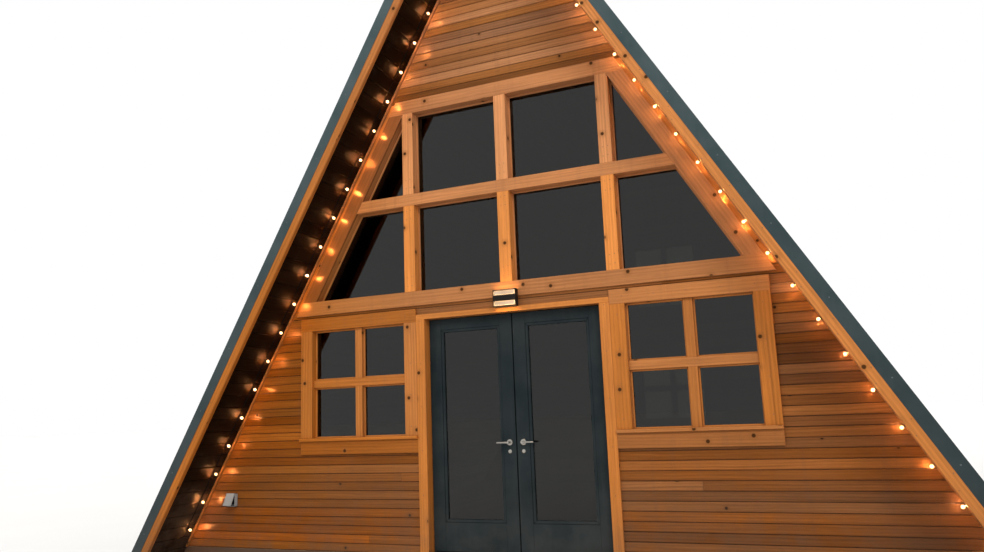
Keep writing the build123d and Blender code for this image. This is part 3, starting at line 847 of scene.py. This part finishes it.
def layout_tree(arrange):
    """Geometry Nodes tree that ends in Realize Instances and Set Material."""

    def build(t, given):
        shape = t.add("GeometryNodeObjectInfo", {"Object": given["Template"]}).outputs["Geometry"]
        real = t.first("GeometryNodeRealizeInstances", {0: arrange(t, given, shape)})
        return {"Geometry": t.first("GeometryNodeSetMaterial", {0: real, 2: given["Finish"]})}

    inputs = {"Geometry": ("Geometry", None), **LAYOUTS[arrange]}
    inputs.update({"Template": ("Object", None), "Finish": ("Material", None)})
    return node_group(arrange.__name__, "GeometryNodeTree", inputs, build, "NodeSocketGeometry")


def row(count, start, step, turn=0.0, seed=1):
    """Values of a row of copies, each turned about X."""
    return {"Count": count, "Start": tuple(start), "Step": tuple(step), "Turn": (turn, 0, 0), "Seed": seed}


def template(boards, name):
    """Turns collected forms into a plain object for Geometry Nodes to copy."""
    made = boards.finish(name, ["black_metal"])
    made.data.materials.clear()
    return made


def bake(plain, arrange, values, name, finish, smooth=None):
    """Lays out copies of a plain object from an empty mesh, and keeps the result as one mesh."""
    holder = bpy.data.objects.new(name + "_holder", bpy.data.meshes.new(name + "_holder"))
    bpy.context.scene.collection.objects.link(holder)
    modifier = holder.modifiers.new("Layout", "NODES")
    modifier.node_group = layout_tree(arrange)
    values = {**values, "Template": plain, "Finish": material(finish)}
    for item in modifier.node_group.interface.items_tree:
        if item.item_type == "SOCKET" and item.in_out == "INPUT" and item.name in values:
            modifier[item.identifier] = values[item.name]
    bpy.context.view_layer.update()
    evaluated = holder.evaluated_get(bpy.context.evaluated_depsgraph_get())
    mesh = bpy.data.meshes.new_from_object(evaluated)
    mesh.name = name
    holder.modifiers.clear()
    bpy.data.objects.remove(holder)
    bpy.data.objects.remove(plain)
    if smooth:
        soften(mesh, smooth)
    return add_piece(name, mesh)


def screw_head():
    """Hexagon head on a domed washer, facing +Z."""
    head = Boards()
    head.lathe([(0, 0.008), (0.0012, 0.0078), (0.002, 0.0055)], (0, 0, 0), UP, 12)
    head.lathe([(0.0018, 0.0042), (0.0052, 0.0042), (0.006, 0.0034)], (0, 0, 0), UP, 6)
    return head


def nail_head(radius):
    """Low domed head, facing +Z."""
    head = Boards()
    head.lathe([(0, radius), (0.0006, radius), (0.0012, radius * 0.7)], (0, 0, 0), UP, 8)
    return head


# Pieces


def wall_core(nodes, name):
    """Copies wall nodes and sets their outer face back, to leave room for the siding boards."""
    joined = bmesh.new()
    for node in nodes:
        merged = bmesh.new()
        merged.from_mesh(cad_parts[node].data)
        bmesh.ops.remove_doubles(merged, verts=merged.verts[:], dist=0.0002)
        for v in merged.verts:
            if abs(abs(v.co.y) - SIDING) < 0.001:
                v.co.y -= math.copysign(SHELL, v.co.y)
        copy = bpy.data.meshes.new(name)
        merged.to_mesh(copy)
        merged.free()
        joined.from_mesh(copy)
        bpy.data.meshes.remove(copy)
    add_joined(name, joined, "room_boards", nodes)


def course_spans(boards, limit, cuts):
    """Stretches of one course between the rakes, the openings and the joints of board ends."""
    joints = []
    x = -limit + boards.random.uniform(*FIRST_LENGTH)
    while x < limit - LEAST_LENGTH:
        joints.append(x)
        x += boards.random.uniform(*LENGTH)
    spans = [(-limit, limit)]
    for x0, x1 in cuts:
        pieces = [q for a, b in spans for q in ((a, min(b, x0)), (max(a, x1), b))]
        spans = [(a, b) for a, b in pieces if b - a > 0.02]
    for x in joints:
        pieces = []
        for a, b in spans:
            inside = a + 0.05 < x < b - 0.05
            pieces += [(a, x - BOARD_END), (x + BOARD_END, b)] if inside else [(a, b)]
        spans = pieces
    return spans


def lay_courses(boards, face, back, holes, bare=None):
    """Lays courses of boards between the rakes from floor to ridge, but none at the bare levels."""
    s = settings("siding")
    z = s.first_joint
    skipped = []
    while z < LAST_COURSE:
        z0, z1 = max(z, FLOOR), min(z + s.pitch, PEAK)
        z += s.pitch
        if bare and bare[0] < (z0 + z1) / 2 < bare[1]:
            skipped += [z0, z1]
            continue
        cuts = [x for x, (low, high) in holes if low < z1 - 0.002 and high > z0 + 0.002]
        for x0, x1 in course_spans(boards, rake_x(COURSE_END, z0), cuts):
            reaches = [max(rake_x(COURSE_END, level), 0.002) for level in (z0, z1)]
            (a0, b0), (a1, b1) = [(max(x0, -reach), min(x1, reach)) for reach in reaches]
            if b0 - a0 < 0.004 or b1 - a1 < 0.002:
                continue
            tone = min(max(boards.random.gauss(0.55, 0.24), 0.0), 1.0)
            if bare and z0 < HEADER[1] < z1:
                tone = 0.05
            outline = [(a0, z0 + s.gap), (b0, z0 + s.gap), (b1, z1), (a1, z1)]
            boards.prism(outline, face, back, RIGHT, tone, s.chamfer, long_only=True)
    # Painted light: the strips in the recess beside the upper window get the palest golden tone, standing in
    # for the bulbs' light on them.
    if skipped:
        boards.hue = 0.8
        for side in (-1, 1):
            strip = rake_strip(side, CASING - 0.02, COURSE_END, min(skipped) + s.gap, max(skipped))
            boards.prism(strip, face, back, down_slope(side), 1.0, s.chamfer)


class CABIN_OT_platform(bpy.types.Operator):
    """Floor boards and rim of the platform."""

    bl_idname = "cabin.platform"
    bl_label = "Platform"

    def execute(self, context):
        dress("floor_platform", "platform_wood")
        return {"FINISHED"}


class CABIN_OT_siding(bpy.types.Operator):
    """Horizontal cedar boards on both gables, with the walls behind them."""

    bl_idname = "cabin.siding"
    bl_label = "Siding"

    def execute(self, context):
        seed = settings("siding").seed
        wall_core(["front_wall_left", "front_wall_right", "front_wall_top"], "front_wall_core")
        wall_core(["back_wall"], "back_wall_core")
        low, high = ((bottom - LINING, top + LINING) for bottom, top in (LOWER, BACK_UPPER))
        left, middle, right = (about(x, WINDOW_HALF + LINING) for x in (-WINDOW_X, 0.0, WINDOW_X))
        door = (about(0.0, DOOR_HALF + JAMB), (FLOOR, DOOR_TOP + JAMB))
        bare = (SILL_BOTTOM + 0.03, HEADER[1] - 0.03)
        front = Boards(seed)
        lay_courses(front, -SIDING, -SIDING + SHELL, [(left, low), door, (right, low)], bare)
        front.finish("front_siding", ["cedar_siding"])
        back = Boards(seed + 1)
        lay_courses(back, SIDING, SIDING - SHELL, [(middle, low), (middle, high)])
        back.finish("back_siding", ["cedar_siding"])
        return {"FINISHED"}


class CABIN_OT_rakes(bpy.types.Operator):
    """Barge boards and the battens at the joint of wall and soffit."""

    bl_idname = "cabin.rakes"
    bl_label = "Barge Boards"

    def execute(self, context):
        edge = settings("trim").edge
        for end, word in ENDS:
            for side, hand in SIDES:
                name = f"barge_{word}_{hand}"
                board = Boards(20 + end * 3 + side, hue=0.7)
                outline = rake_band(side, BARGE_DROP, ROOF)
                # Painted shade: the left barge boards are darker and the right ones lighter, as the left side
                # lies in shade.
                tone = 0.42 + 0.16 * side
                board.prism(outline, end * GABLE, end * DECK_END, down_slope(side), tone, edge * 1.5)
                board.finish(name + "_board", ["cedar_trim"], [name])
        for side, hand in SIDES:
            name = f"rake_batten_{hand}"
            batten = Boards(30 + side, hue=0.0)
            outline = rake_band(side, BATTEN, 0.0, FLOOR)
            batten.prism(outline, -FACE, -SIDING, down_slope(side), 0.12, edge)
            batten.finish(name + "_board", ["cedar_trim"], [name])
        return {"FINISHED"}


class CABIN_OT_roof(bpy.types.Operator):
    """Soffit boards, ribbed metal sheets, ridge cap, flashing and their screws."""

    bl_idname = "cabin.roof"
    bl_label = "Roof"

    def execute(self, context):
        s = settings("roof")
        pitch = (APEX - FOOT) / SINE / s.boards
        gap, chamfer = 0.0025, 0.0045
        edge = [(gap, s.board_thickness), (gap, chamfer), (gap + chamfer, 0.0)]
        profile = edge + [(pitch - along, depth) for along, depth in edge[::-1]]
        for side, hand in SIDES:
            core = Boards(40)
            outline = rake_band(side, s.board_thickness, ROOF)
            core.prism(outline, -DECK_END, DECK_END, FORWARD, 0.1, 0.0)
            core.finish(f"roof_core_{hand}", ["dark_boards"], [f"roof_deck_{hand}"])
            down, out = down_slope(side), outward(side)
            board = Boards(41)
            rings = [[down * a + out * d + FORWARD * y for a, d in profile] for y in (-DECK_END, DECK_END)]
            board.take(solid(rings), FORWARD, 0.5)
            plain = template(board, "soffit_board")
            plain.data.attributes.remove(plain.data.attributes["tone"])
            values = row(s.boards, (0, 0, APEX), down * pitch, seed=5 + side)
            bake(plain, row_of_pieces, values, f"soffit_boards_{hand}", "dark_boards")
            dress(f"roof_metal_{hand}", "green_metal")
            self.screws(side, hand)
        dress("ridge_cap", "green_metal")
        for _, word in ENDS:
            for _, hand in SIDES:
                dress(f"flashing_{word}_{hand}", "green_metal")
        return {"FINISHED"}

    def screws(self, side, hand):
        """Screws beside the ribs down the slope, and along the flashing on both gables."""
        s = settings("roof")
        margin, beside_ribs = 0.064, 0.046
        first, last = 0.34, 7.05  # from the ridge to the end rows
        columns = int((2 * GABLE - margin) // s.rib_pitch)
        values = {
            "Size X": last - first,
            "Size Y": (columns - 1) * s.rib_pitch,
            "Count X": s.screw_rows,
            "Count Y": columns,
            "Centre": tuple(on_slope(side, (first + last) / 2, ROOF + 0.002, beside_ribs)),
            "Turn": (0, side * SLOPE, 0),
        }
        plain = template(screw_head(), "roof_screw")
        bake(plain, grid_of_fasteners, values, f"roof_screws_{hand}", "screw_paint")
        count, top, apart = 11, 0.49, 0.64  # down the flashings
        for end, word in ENDS:
            start = on_slope(side, top, FLASHING_TOP - FLASHING_FACE / 2, end * GABLE_METAL)
            values = row(count, start, down_slope(side) * apart, -end * math.pi / 2)
            plain = template(nail_head(0.0055), "flashing_screw")
            name = f"flashing_screws_{word}_{hand}"
            bake(plain, row_of_pieces, values, name, "screw_paint")


class CABIN_OT_upper_window(bpy.types.Operator):
    """Tapered upper window: casing, posts, rail, lining, beads and glass."""

    bl_idname = "cabin.upper_window"
    bl_label = "Upper Window"

    def execute(self, context):
        trim = settings("trim")
        casing = Boards(51, hue=0.25)
        for levels, tone in (((SILL_BOTTOM, SILL_TOP), 0.36), (HEADER, 0.52)):
            casing.prism(rake_frame(CASING, *levels), -FACE, -SIDING, RIGHT, tone, trim.edge)
        for side, tone, hue in ((-1, 0.0, 0.35), (1, 0.33, 0.10)):
            casing.hue = hue
            strip = rake_strip(side, RAKE_CASING, CASING, SILL_TOP, HEADER[0])
            casing.prism(strip, -FACE, -SIDING, down_slope(side), tone, trim.edge)
        casing.finish("upper_window_boards", ["cedar_trim"], ["upper_window_casing"])

        rows = ((SILL_TOP, RAIL[0]), (RAIL[1], HEADER[0]))
        posts = Boards(52, hue=0.25)
        posts.prism(rake_frame(RAKE_CASING, *RAIL), -FACE, -UPPER_GLASS, RIGHT, 0.60, trim.edge)
        for x in POSTS:
            for levels, hue in zip(rows, (0.85, 0.20)):
                posts.hue = hue
                tone = 0.95 + 0.05 * posts.random.random()
                post = clip_to_rake(rectangle(about(x, POST_HALF), levels))
                posts.prism(post, -FACE + 0.0005, -UPPER_GLASS, UP, tone, trim.edge)
        lining = rake_frame(RAKE_CASING + LINING, SILL_TOP - LINING, HEADER[0] + LINING)
        posts.ring(lining, LINING, -SIDING, -INSIDE, 0.4, 0.001)
        beyond = 9.0  # outside both rakes
        edges = [-beyond, *(edge for x in POSTS for edge in about(x, POST_HALF)), beyond]
        for levels in rows:
            for pane in zip(edges[::2], edges[1::2]):
                outline = clip_to_rake(rectangle(pane, levels))
                posts.ring(outline, trim.bead, -UPPER_GLASS - BEAD_DEPTH, -UPPER_GLASS, 0.5)
        posts.finish("upper_window_posts", ["cedar_trim"], ["upper_window_frame"])
        dress("upper_window_glass", "window_glass")
        return {"FINISHED"}


def window_boards(boards, x, levels, end, trim, cast):
    """Casing boards, nosing, apron, lining, mullions and beads of one square window."""
    face, siding, inside = end * FACE, end * SIDING, end * INSIDE
    bottom, top = levels
    left, right = opening = about(x, WINDOW_HALF)
    outer = about(x, WINDOW_HALF + SIDE_CASING)
    middle, nose = (bottom + top) / 2, bottom - NOSING
    sides, head, cross, upright = cast

    def board(across, levels, near, far, along, kind):
        """Board of a tone near that of its kind, and of its hue."""
        boards.hue = kind[1]
        tone = kind[0] + boards.random.uniform(-0.12, 0.12)
        boards.prism(rectangle(across, levels), near, far, along, tone, trim.edge)

    board((outer[0], left), levels, face, siding, UP, sides)
    board((right, outer[1]), levels, face, siding, UP, sides)
    board(outer, (top, top + HEAD_CASING), face, siding, RIGHT, head)
    boards.prism(rectangle(outer, (nose, bottom)), face + end * NOSING_REACH, siding, RIGHT, 0.5, 0.003)
    board(outer, (nose - APRON, nose), face, siding, RIGHT, (0.12, head[1]))
    hole = rectangle(about(x, WINDOW_HALF + LINING), (bottom - LINING, top + LINING))
    boards.ring(hole, LINING, siding, inside, 0.5, 0.001)
    near, far = face - end * MULLION_SETBACK, end * WINDOW_GLASS
    board(opening, about(middle, MULLION), near, far, RIGHT, cross)
    for half in ((bottom, middle - MULLION), (middle + MULLION, top)):
        board(about(x, MULLION), half, near, far, UP, upright)
        for pane in ((left, x - MULLION), (x + MULLION, right)):
            boards.ring(rectangle(pane, half), trim.bead, far + end * BEAD_DEPTH, far, 0.6)


class CABIN_OT_windows(bpy.types.Operator):
    """Cross-barred windows of the lower storey and of the back gable."""

    bl_idname = "cabin.windows"
    bl_label = "Windows"

    def execute(self, context):
        trim = settings("trim")
        golden = ((0.43, 0.60), (0.10, 1.00), (0.34, 0.75), (0.50, 0.50))
        pinkish = ((0.43, 1.00), (0.52, 0.45), (0.46, 0.45), (0.24, 0.70))
        for number, (name, x, levels, end, kinds, cast) in enumerate((
            ("left_window", -WINDOW_X, LOWER, -1, ("casing", "frame"), golden),
            ("right_window", WINDOW_X, LOWER, -1, ("casing", "frame"), pinkish),
            ("back_lower_window", 0.0, LOWER, 1, ("frame",), pinkish),
            ("back_upper_window", 0.0, BACK_UPPER, 1, ("frame",), pinkish),
        )):
            boards = Boards(60 + number)
            window_boards(boards, x, levels, end, trim, cast)
            boards.finish(name + "_boards", ["cedar_trim"], [f"{name}_{kind}" for kind in kinds])
            dress(name + "_glass", "window_glass")
        return {"FINISHED"}


class CABIN_OT_doors(bpy.types.Operator):
    """Door casing, frame, both leaves with their beads, hinges and levers."""

    bl_idname = "cabin.doors"
    bl_label = "Doors"

    def execute(self, context):
        edge = settings("trim").edge
        opening = about(0.0, DOOR_HALF)
        casing, jambs = Boards(71, hue=0.85), Boards(72)
        for side in (-1, 1):
            near, casing_edge, jamb_edge = (side * (DOOR_HALF + wide) for wide in (0.0, DOOR_CASING, JAMB))
            outline = rectangle((near, casing_edge), (FLOOR, DOOR_TOP))
            casing.prism(outline, -FACE, -SIDING, UP, 0.60, edge)
            outline = rectangle((near, jamb_edge), (FLOOR, DOOR_TOP + JAMB))
            jambs.prism(outline, -SIDING, -INSIDE, UP, 0.4, 0.001)
        head = rectangle(about(0.0, DOOR_HALF + DOOR_CASING), (DOOR_TOP, DOOR_TOP + DOOR_HEAD))
        casing.prism(head, -FACE, -SIDING, RIGHT, 0.65, edge)
        casing.finish("door_casing_boards", ["cedar_trim"], ["door_casing"])
        head = rectangle(opening, (DOOR_TOP, DOOR_TOP + JAMB))
        jambs.prism(head, -SIDING, -INSIDE, RIGHT, 0.35, 0.001)
        jambs.box(opening, (-SIDING, -INSIDE), (FLOOR, FLOOR + THRESHOLD), RIGHT, 0.004, slot=1)
        plates = ((0.014, 0.0, HINGE_PLATE, 0.0006), (0.007, 0.0, HINGE_AXIS, 0.0004))
        for side in (-1, 1):
            for level in HINGE_LEVELS:
                for low in (level - HINGE / 2, level + KNUCKLE / 2):
                    self.knuckle(jambs, side, low, KNUCKLE, plates, slot=2)
        materials = ["cedar_trim", "handle_metal", "black_metal"]
        jambs.finish("door_jambs", materials, ["door_frame"], smooth=30)
        for side, hand in SIDES:
            body = "door_" + hand
            self.leaf(side, body)
            self.hardware(side, body)
            dress(body + "_glass", "window_glass")
        return {"FINISHED"}

    def knuckle(self, boards, side, low, length, plates, slot=0):
        """One barrel of a hinge with its plates, each (reach from the pin, Y from, Y to, edge)."""
        profile = barrel(length, HINGE_RADIUS, 0.0008, 0.0008)
        pin = side * DOOR_HALF
        boards.lathe(profile, (pin, -INSIDE + HINGE_AXIS, low), UP, 20, slot)
        for reach, start, stop, edge in plates:
            depth = (-INSIDE + start, -INSIDE + stop)
            boards.box((pin, pin + side * reach), depth, (low, low + length), RIGHT, edge, slot)

    def leaf(self, side, body):
        """Stiles, rails and the beads round the pane on both faces."""
        bead = settings("door").bead
        leaf = Boards(73 + side)
        left, right = sorted((side * LEAF_GAP, side * (DOOR_HALF - LEAF_GAP)))
        pane, levels = (left + STILE, right - STILE), (LEAF_LOW + BOTTOM_RAIL, LEAF_HIGH - TOP_RAIL)
        depth = (-INSIDE - LEAF, -INSIDE)
        for stile in ((left, pane[0]), (pane[1], right)):
            leaf.box(stile, depth, (LEAF_LOW, LEAF_HIGH), UP, 0.0015)
        for rail in ((LEAF_LOW, levels[0]), (levels[1], LEAF_HIGH)):
            leaf.box(pane, depth, rail, RIGHT, 0.0015)
        for face, inwards in zip(depth, (1, -1)):
            sunk, back = face + inwards * 0.003, face + inwards * 0.0195
            leaf.ring(rectangle(pane, levels), bead, sunk, back, 0.5, 0.004)
        leaf.finish(body + "_boards", ["door_paint"], [body + "_leaf"], body)

    def hardware(self, side, body):
        """Moving knuckles and plates, and a lever on a rose on each face."""
        made = Boards(75)
        length = KNUCKLE - 0.0008
        plates = ((-0.016, 0.0, HINGE_PLATE, 0.0004), (-0.007, 0.0008, HINGE_AXIS, 0.0004))
        x0, x1 = (side * (DOOR_HALF - reach) for reach in (0.044, 0.010))
        front = -INSIDE + HINGE_PLATE
        screw = [(0, 0.0038), (0.0008, 0.0036), (0.0012, 0.002)]
        for level in HINGE_LEVELS:
            self.knuckle(made, side, level - length / 2, length, plates)
            made.box((x0, x1), (-INSIDE, front), about(level, HINGE / 2), UP, 0.0008)
            for dz in (-0.036, 0.0, 0.036):
                made.lathe(screw, ((x0 + x1) / 2, front, level + dz), FORWARD, 10)
        x, z = side * BACKSET, FLOOR + LEVER_HEIGHT
        rose = [(0, 0.026), (0.005, 0.026), (0.0075, 0.0235), (0.008, 0.0205)]
        neck = [(0.006, 0.0125), (0.010, 0.0098), (0.030, 0.009), (0.052, 0.009)]
        bar = [(0, 0.006), (0.0015, 0.0085), (0.012, 0.009), (0.060, 0.0078)]
        bar += [(0.106, 0.0072), (0.1135, 0.0058), (0.115, 0.003)]
        lock = [(0, 0.0165), (0.004, 0.0165), (0.0055, 0.0145), (0.007, 0.012)]
        for face, out in ((-INSIDE - LEAF, -1), (-INSIDE, 1)):
            axis = Vector((0, out, 0))
            made.lathe(rose, (x, face, z), axis, 32)
            made.lathe(neck, (x, face, z), axis, 20)
            made.lathe(bar, (x - side * 0.009, face + out * LEVER_REACH, z), RIGHT * side, 20)
            made.lathe(lock, (x, face, z - LOCK_DROP), axis, 24)
            slit = (face + out * 0.0065, face + out * 0.0078)
            made.box(about(x, 0.0012), slit, about(z - LOCK_DROP, 0.005), UP, 0.0)
        made.finish(body + "_fittings", ["handle_metal"], [body + "_hardware"], body, smooth=35)


class CABIN_OT_wall_light(bpy.types.Operator):
    """Black wall light with a lit lens above and below its middle band."""

    bl_idname = "cabin.wall_light"
    bl_label = "Wall Light"

    def execute(self, context):
        low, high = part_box("wall_light")
        front, back = low.y, high.y
        middle, bar = (low.z + high.z) / 2, 0.006
        made = Boards(80)
        made.box((low.x, high.x), (back - 0.009, back), (low.z, high.z), RIGHT, 0.001)
        wide = (low.x + 0.004, high.x - 0.004)
        made.box(wide, (front, back - 0.009), about(middle, 0.027), RIGHT, 0.0015)
        for x in ((low.x, low.x + bar), (high.x - bar, high.x)):
            made.box(x, (front, back - 0.008), (low.z, high.z), UP, 0.001)
        for z in ((low.z, low.z + bar), (high.z - bar, high.z)):
            for y in (front, back - 0.015):
                made.box((low.x + 0.005, high.x - 0.005), (y, y + bar), z, RIGHT, 0.0008)
        wide = (low.x + 0.009, high.x - 0.009)
        for z in ((low.z + 0.010, middle - 0.0265), (middle + 0.0265, high.z - 0.010)):
            made.box(wide, (front + 0.008, back - 0.010), z, RIGHT, 0.003, slot=1)
        for x in (low.x + 0.035, high.x - 0.035):
            made.lathe([(0, 0.004), (0.0015, 0.0038), (0.0022, 0.002)], (x, front, middle), -FORWARD, 12)
        made.finish("wall_light_body", ["black_metal", "lit_lens"], ["wall_light"])
        return {"FINISHED"}


class CABIN_OT_outlet(bpy.types.Operator):
    """Weatherproof outlet box with its lid open at the foot."""

    bl_idname = "cabin.outlet"
    bl_label = "Outlet"

    def execute(self, context):
        low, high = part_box("outlet_box")
        wall, tall, deep, lid_angle = 0.005, 0.120, 0.040, math.radians(26.0)
        wide, levels = (low.x, high.x), (low.z, low.z + tall)
        (x0, x1), (z0, z1) = wide, levels
        front, back = -SIDING - deep, -SIDING
        made = Boards(81)
        made.box(wide, (back - wall, back), levels, UP, 0.001)
        for x in ((x0, x0 + wall), (x1 - wall, x1)):
            made.box(x, (front, back - 0.001), levels, UP, 0.001)
        for z in ((z0, z0 + wall), (z1 - wall, z1)):
            made.box(wide, (front, back - 0.001), z, UP, 0.001)
        middle = (x0 + x1) / 2
        socket = (about(middle, 0.022), (back - 0.022, back - wall), (z0 + 0.020, z1 - 0.020))
        made.box(*socket, UP, 0.002, slot=1)
        for z in (z0 + 0.042, z1 - 0.042):
            for x in about(middle, 0.007):
                slit = (about(x, 0.001), (back - 0.0228, back - 0.021), about(z, 0.004))
                made.box(*slit, UP, 0.0, slot=2)
        made.lathe(barrel(x1 - x0, 0.005, 0.001, 0.0005), (x0, front, z1), RIGHT, 16)
        lid = Boards(82)
        lid.box(wide, (-0.006, 0.0), (-tall, 0.0), UP, 0.0015)
        for x in ((x0 + 0.010, x0 + 0.014), (x1 - 0.014, x1 - 0.010)):
            lid.box(x, (-0.0075, -0.005), (-0.110, -0.010), UP, 0.0005)
        turn = Matrix.Translation((0, front, z1)) @ Matrix.Rotation(-lid_angle, 4, "X")
        first = len(made.points)
        made.points += [turn @ p for p in lid.points]
        made.faces += [[first + i for i in f] for f in lid.faces]
        for key in ("uvs", "tones", "hues", "slots"):
            getattr(made, key).extend(getattr(lid, key))
        materials = ["grey_plastic", "black_cable", "black_metal"]
        made.finish("outlet_cover", materials, ["outlet_box"], smooth=35)
        return {"FINISHED"}


class CABIN_OT_light_strings(bpy.types.Operator):
    """Bulbs on both light strings."""

    bl_idname = "cabin.light_strings"
    bl_label = "Light Strings"

    def execute(self, context):
        s = settings("light")
        r = s.bulb_radius
        profile = [(-0.004, 0.006), (0.002, 0.0075)]
        for i in range(11):
            a = math.radians(25 + 15.5 * i)
            profile.append((r * 0.95 - r * math.cos(a), r * math.sin(a)))
        profile[-1] = (profile[-1][0], 0.0)
        for (side, hand), (first, pitch) in zip(SIDES, STRINGS):
            dress(f"light_string_{hand}", "black_cable")
            bulb = Boards(90)
            bulb.lathe(profile, (0, 0, 0), -outward(side), 16)
            seat = on_slope(side, first, -CABLE - s.socket_length, STRING_Y)
            values = row(SOCKETS, seat, down_slope(side) * pitch, seed=3)
            plain = template(bulb, "bulb")
            bake(plain, row_of_pieces, values, f"bulbs_{hand}", "lit_bulb", smooth=60)
        return {"FINISHED"}


class CABIN_OT_nails(bpy.types.Operator):
    """Nail heads in the trim boards of both gables."""

    bl_idname = "cabin.nails"
    bl_label = "Nails"

    def execute(self, context):
        rows = []  # count, first nail, step and end of the building
        for end, _ in ENDS:
            for side, _ in SIDES:
                step = down_slope(side) * 0.39
                for along, depth in ((0.42, 0.020), (0.52, -0.018)):
                    rows.append((17, on_slope(side, along, depth, end * GABLE), step, end))
        levels = [SILL_TOP + 0.05, SILL_TOP + 0.13, RAIL[0] - 0.13, RAIL[0] - 0.05]
        levels += [RAIL[1] + 0.06, RAIL[1] + 0.14]
        for x in POSTS:
            rows += [(2, (x - 0.02, -FACE, z), (0.042, 0, 0.006), -1) for z in levels]
        for side, _ in SIDES:
            middle = side * WINDOW_X
            for x in about(middle, WINDOW_HALF + 0.063):
                rows.append((4, (x, -FACE, LOWER[0] + 0.08), (0, 0, 0.28), -1))
            rows.append((5, (middle - 0.52, -FACE, LOWER[1] + 0.06), (0.26, 0, 0), -1))
            rows.append((6, (side * (DOOR_HALF + 0.043), -FACE, FLOOR + 0.12), (0, 0, 0.38), -1))
        joined = bmesh.new()
        for number, (count, start, step, end) in enumerate(rows):
            plain = template(nail_head(settings("trim").nail_radius), "nail")
            values = row(count, start, step, -end * math.pi / 2, number)
            name = f"nail_row_{number:02d}"
            nails = bake(plain, row_of_pieces, values, name, "nail_steel")
            joined.from_mesh(nails.data)
            bpy.data.objects.remove(nails)
        add_joined("trim_nails", joined, "nail_steel")
        return {"FINISHED"}


class CABIN_OT_stage(bpy.types.Operator):
    """Pale floor, even light, key light and the camera."""

    bl_idname = "cabin.stage"
    bl_label = "Stage"

    def execute(self, context):
        s = settings("stage")
        scene = context.scene
        mesh = bpy.data.meshes.new("studio_floor")
        r = 400.0
        mesh.from_pydata([(-r, -r, 0), (r, -r, 0), (r, r, 0), (-r, r, 0)], [], [(0, 1, 2, 3)])
        mesh.materials.append(material("floor_paint"))
        floor = bpy.data.objects.new("studio_floor", mesh)
        scene.collection.objects.link(floor)

        world = bpy.data.worlds.new("studio")
        world.use_nodes = True
        world.node_tree.nodes.clear()
        t = Tree(world.node_tree)
        path = t.add("ShaderNodeLightPath").outputs
        seen = t.math("MAXIMUM", path["Is Camera Ray"], path["Is Glossy Ray"])
        seen = t.math("MAXIMUM", seen, path["Is Transmission Ray"])
        soft = t.first("ShaderNodeBackground", {0: (0.98, 0.985, 1.0), 1: s.sky})
        white = t.first("ShaderNodeBackground", {0: WHITE, 1: 1.0})
        both = t.first("ShaderNodeMixShader", {0: seen, 1: soft, 2: white})
        t.add("ShaderNodeOutputWorld", {0: both})
        scene.world = world

        for name, turn, strength, spread in (
            ("key_light", (58, 0, 28), s.sun, 25),
            ("fill_light", (72, 0, -38), s.sun * 0.45, 60),
            ("back_light", (60, 0, 190), s.sun * 0.5, 60),
        ):
            lamp = bpy.data.lights.new(name, "SUN")
            lamp.energy = strength
            lamp.angle = math.radians(spread)
            lamp.color = (1.0, 0.975, 0.94)
            item = bpy.data.objects.new(name, lamp)
            item.rotation_euler = [math.radians(a) for a in turn]
            item.location = (0, 0, 12)
            item.visible_glossy = False
            item.visible_transmission = False
            scene.collection.objects.link(item)

        data = bpy.data.cameras.new("photo_camera")
        data.lens = s.lens
        data.sensor_width = 36.0
        data.clip_end = 1000.0
        camera = bpy.data.objects.new("photo_camera", data)
        level = Vector((math.cos(s.yaw), math.sin(s.yaw), 0))
        ahead = Vector((-math.sin(s.yaw), math.cos(s.yaw), 0))
        away = ahead * math.cos(s.pitch) + UP * math.sin(s.pitch)
        above = level.cross(away)
        right = math.cos(s.roll) * level - math.sin(s.roll) * above
        up = math.sin(s.roll) * level + math.cos(s.roll) * above
        turn = Matrix((right, up, -away)).transposed()
        camera.matrix_world = Matrix.Translation(Vector(s.position)) @ turn.to_4x4()
        scene.collection.objects.link(camera)
        scene.camera = camera
        scene.view_settings.view_transform = "Standard"
        return {"FINISHED"}


class CABIN_PT_panel(bpy.types.Panel):
    """Lists the steps and their settings."""

    bl_idname = "CABIN_PT_panel"
    bl_label = "A-frame Cabin"
    bl_space_type = "VIEW_3D"
    bl_region_type = "UI"
    bl_category = "Cabin"

    def draw(self, context):
        for step in STEPS:
            self.layout.operator(step.bl_idname)
        for name, kind in GROUPS.items():
            box = self.layout.box()
            box.label(text=name.title())
            for key in kind.__annotations__:
                box.prop(settings(name), key)


GROUPS = {
    "siding": CabinSidingSettings,
    "trim": CabinTrimSettings,
    "roof": CabinRoofSettings,
    "door": CabinDoorSettings,
    "light": CabinLightSettings,
    "stage": CabinStageSettings,
}
STEPS = (
    CABIN_OT_platform,
    CABIN_OT_siding,
    CABIN_OT_rakes,
    CABIN_OT_roof,
    CABIN_OT_upper_window,
    CABIN_OT_windows,
    CABIN_OT_doors,
    CABIN_OT_wall_light,
    CABIN_OT_outlet,
    CABIN_OT_light_strings,
    CABIN_OT_nails,
    CABIN_OT_stage,
)


def register():
    for kind in (*GROUPS.values(), *STEPS, CABIN_PT_panel):
        bpy.utils.register_class(kind)
    for name, kind in GROUPS.items():
        setattr(bpy.types.Scene, "cabin_" + name, bpy.props.PointerProperty(type=kind))


def unregister():
    for name in GROUPS:
        delattr(bpy.types.Scene, "cabin_" + name)
    for kind in (CABIN_PT_panel, *STEPS[::-1], *GROUPS.values()):
        bpy.utils.unregister_class(kind)


def main():
    register()
    for step in STEPS:
        family, name = step.bl_idname.split(".")
        getattr(getattr(bpy.ops, family), name)()


if __name__ == "__main__":
    main()
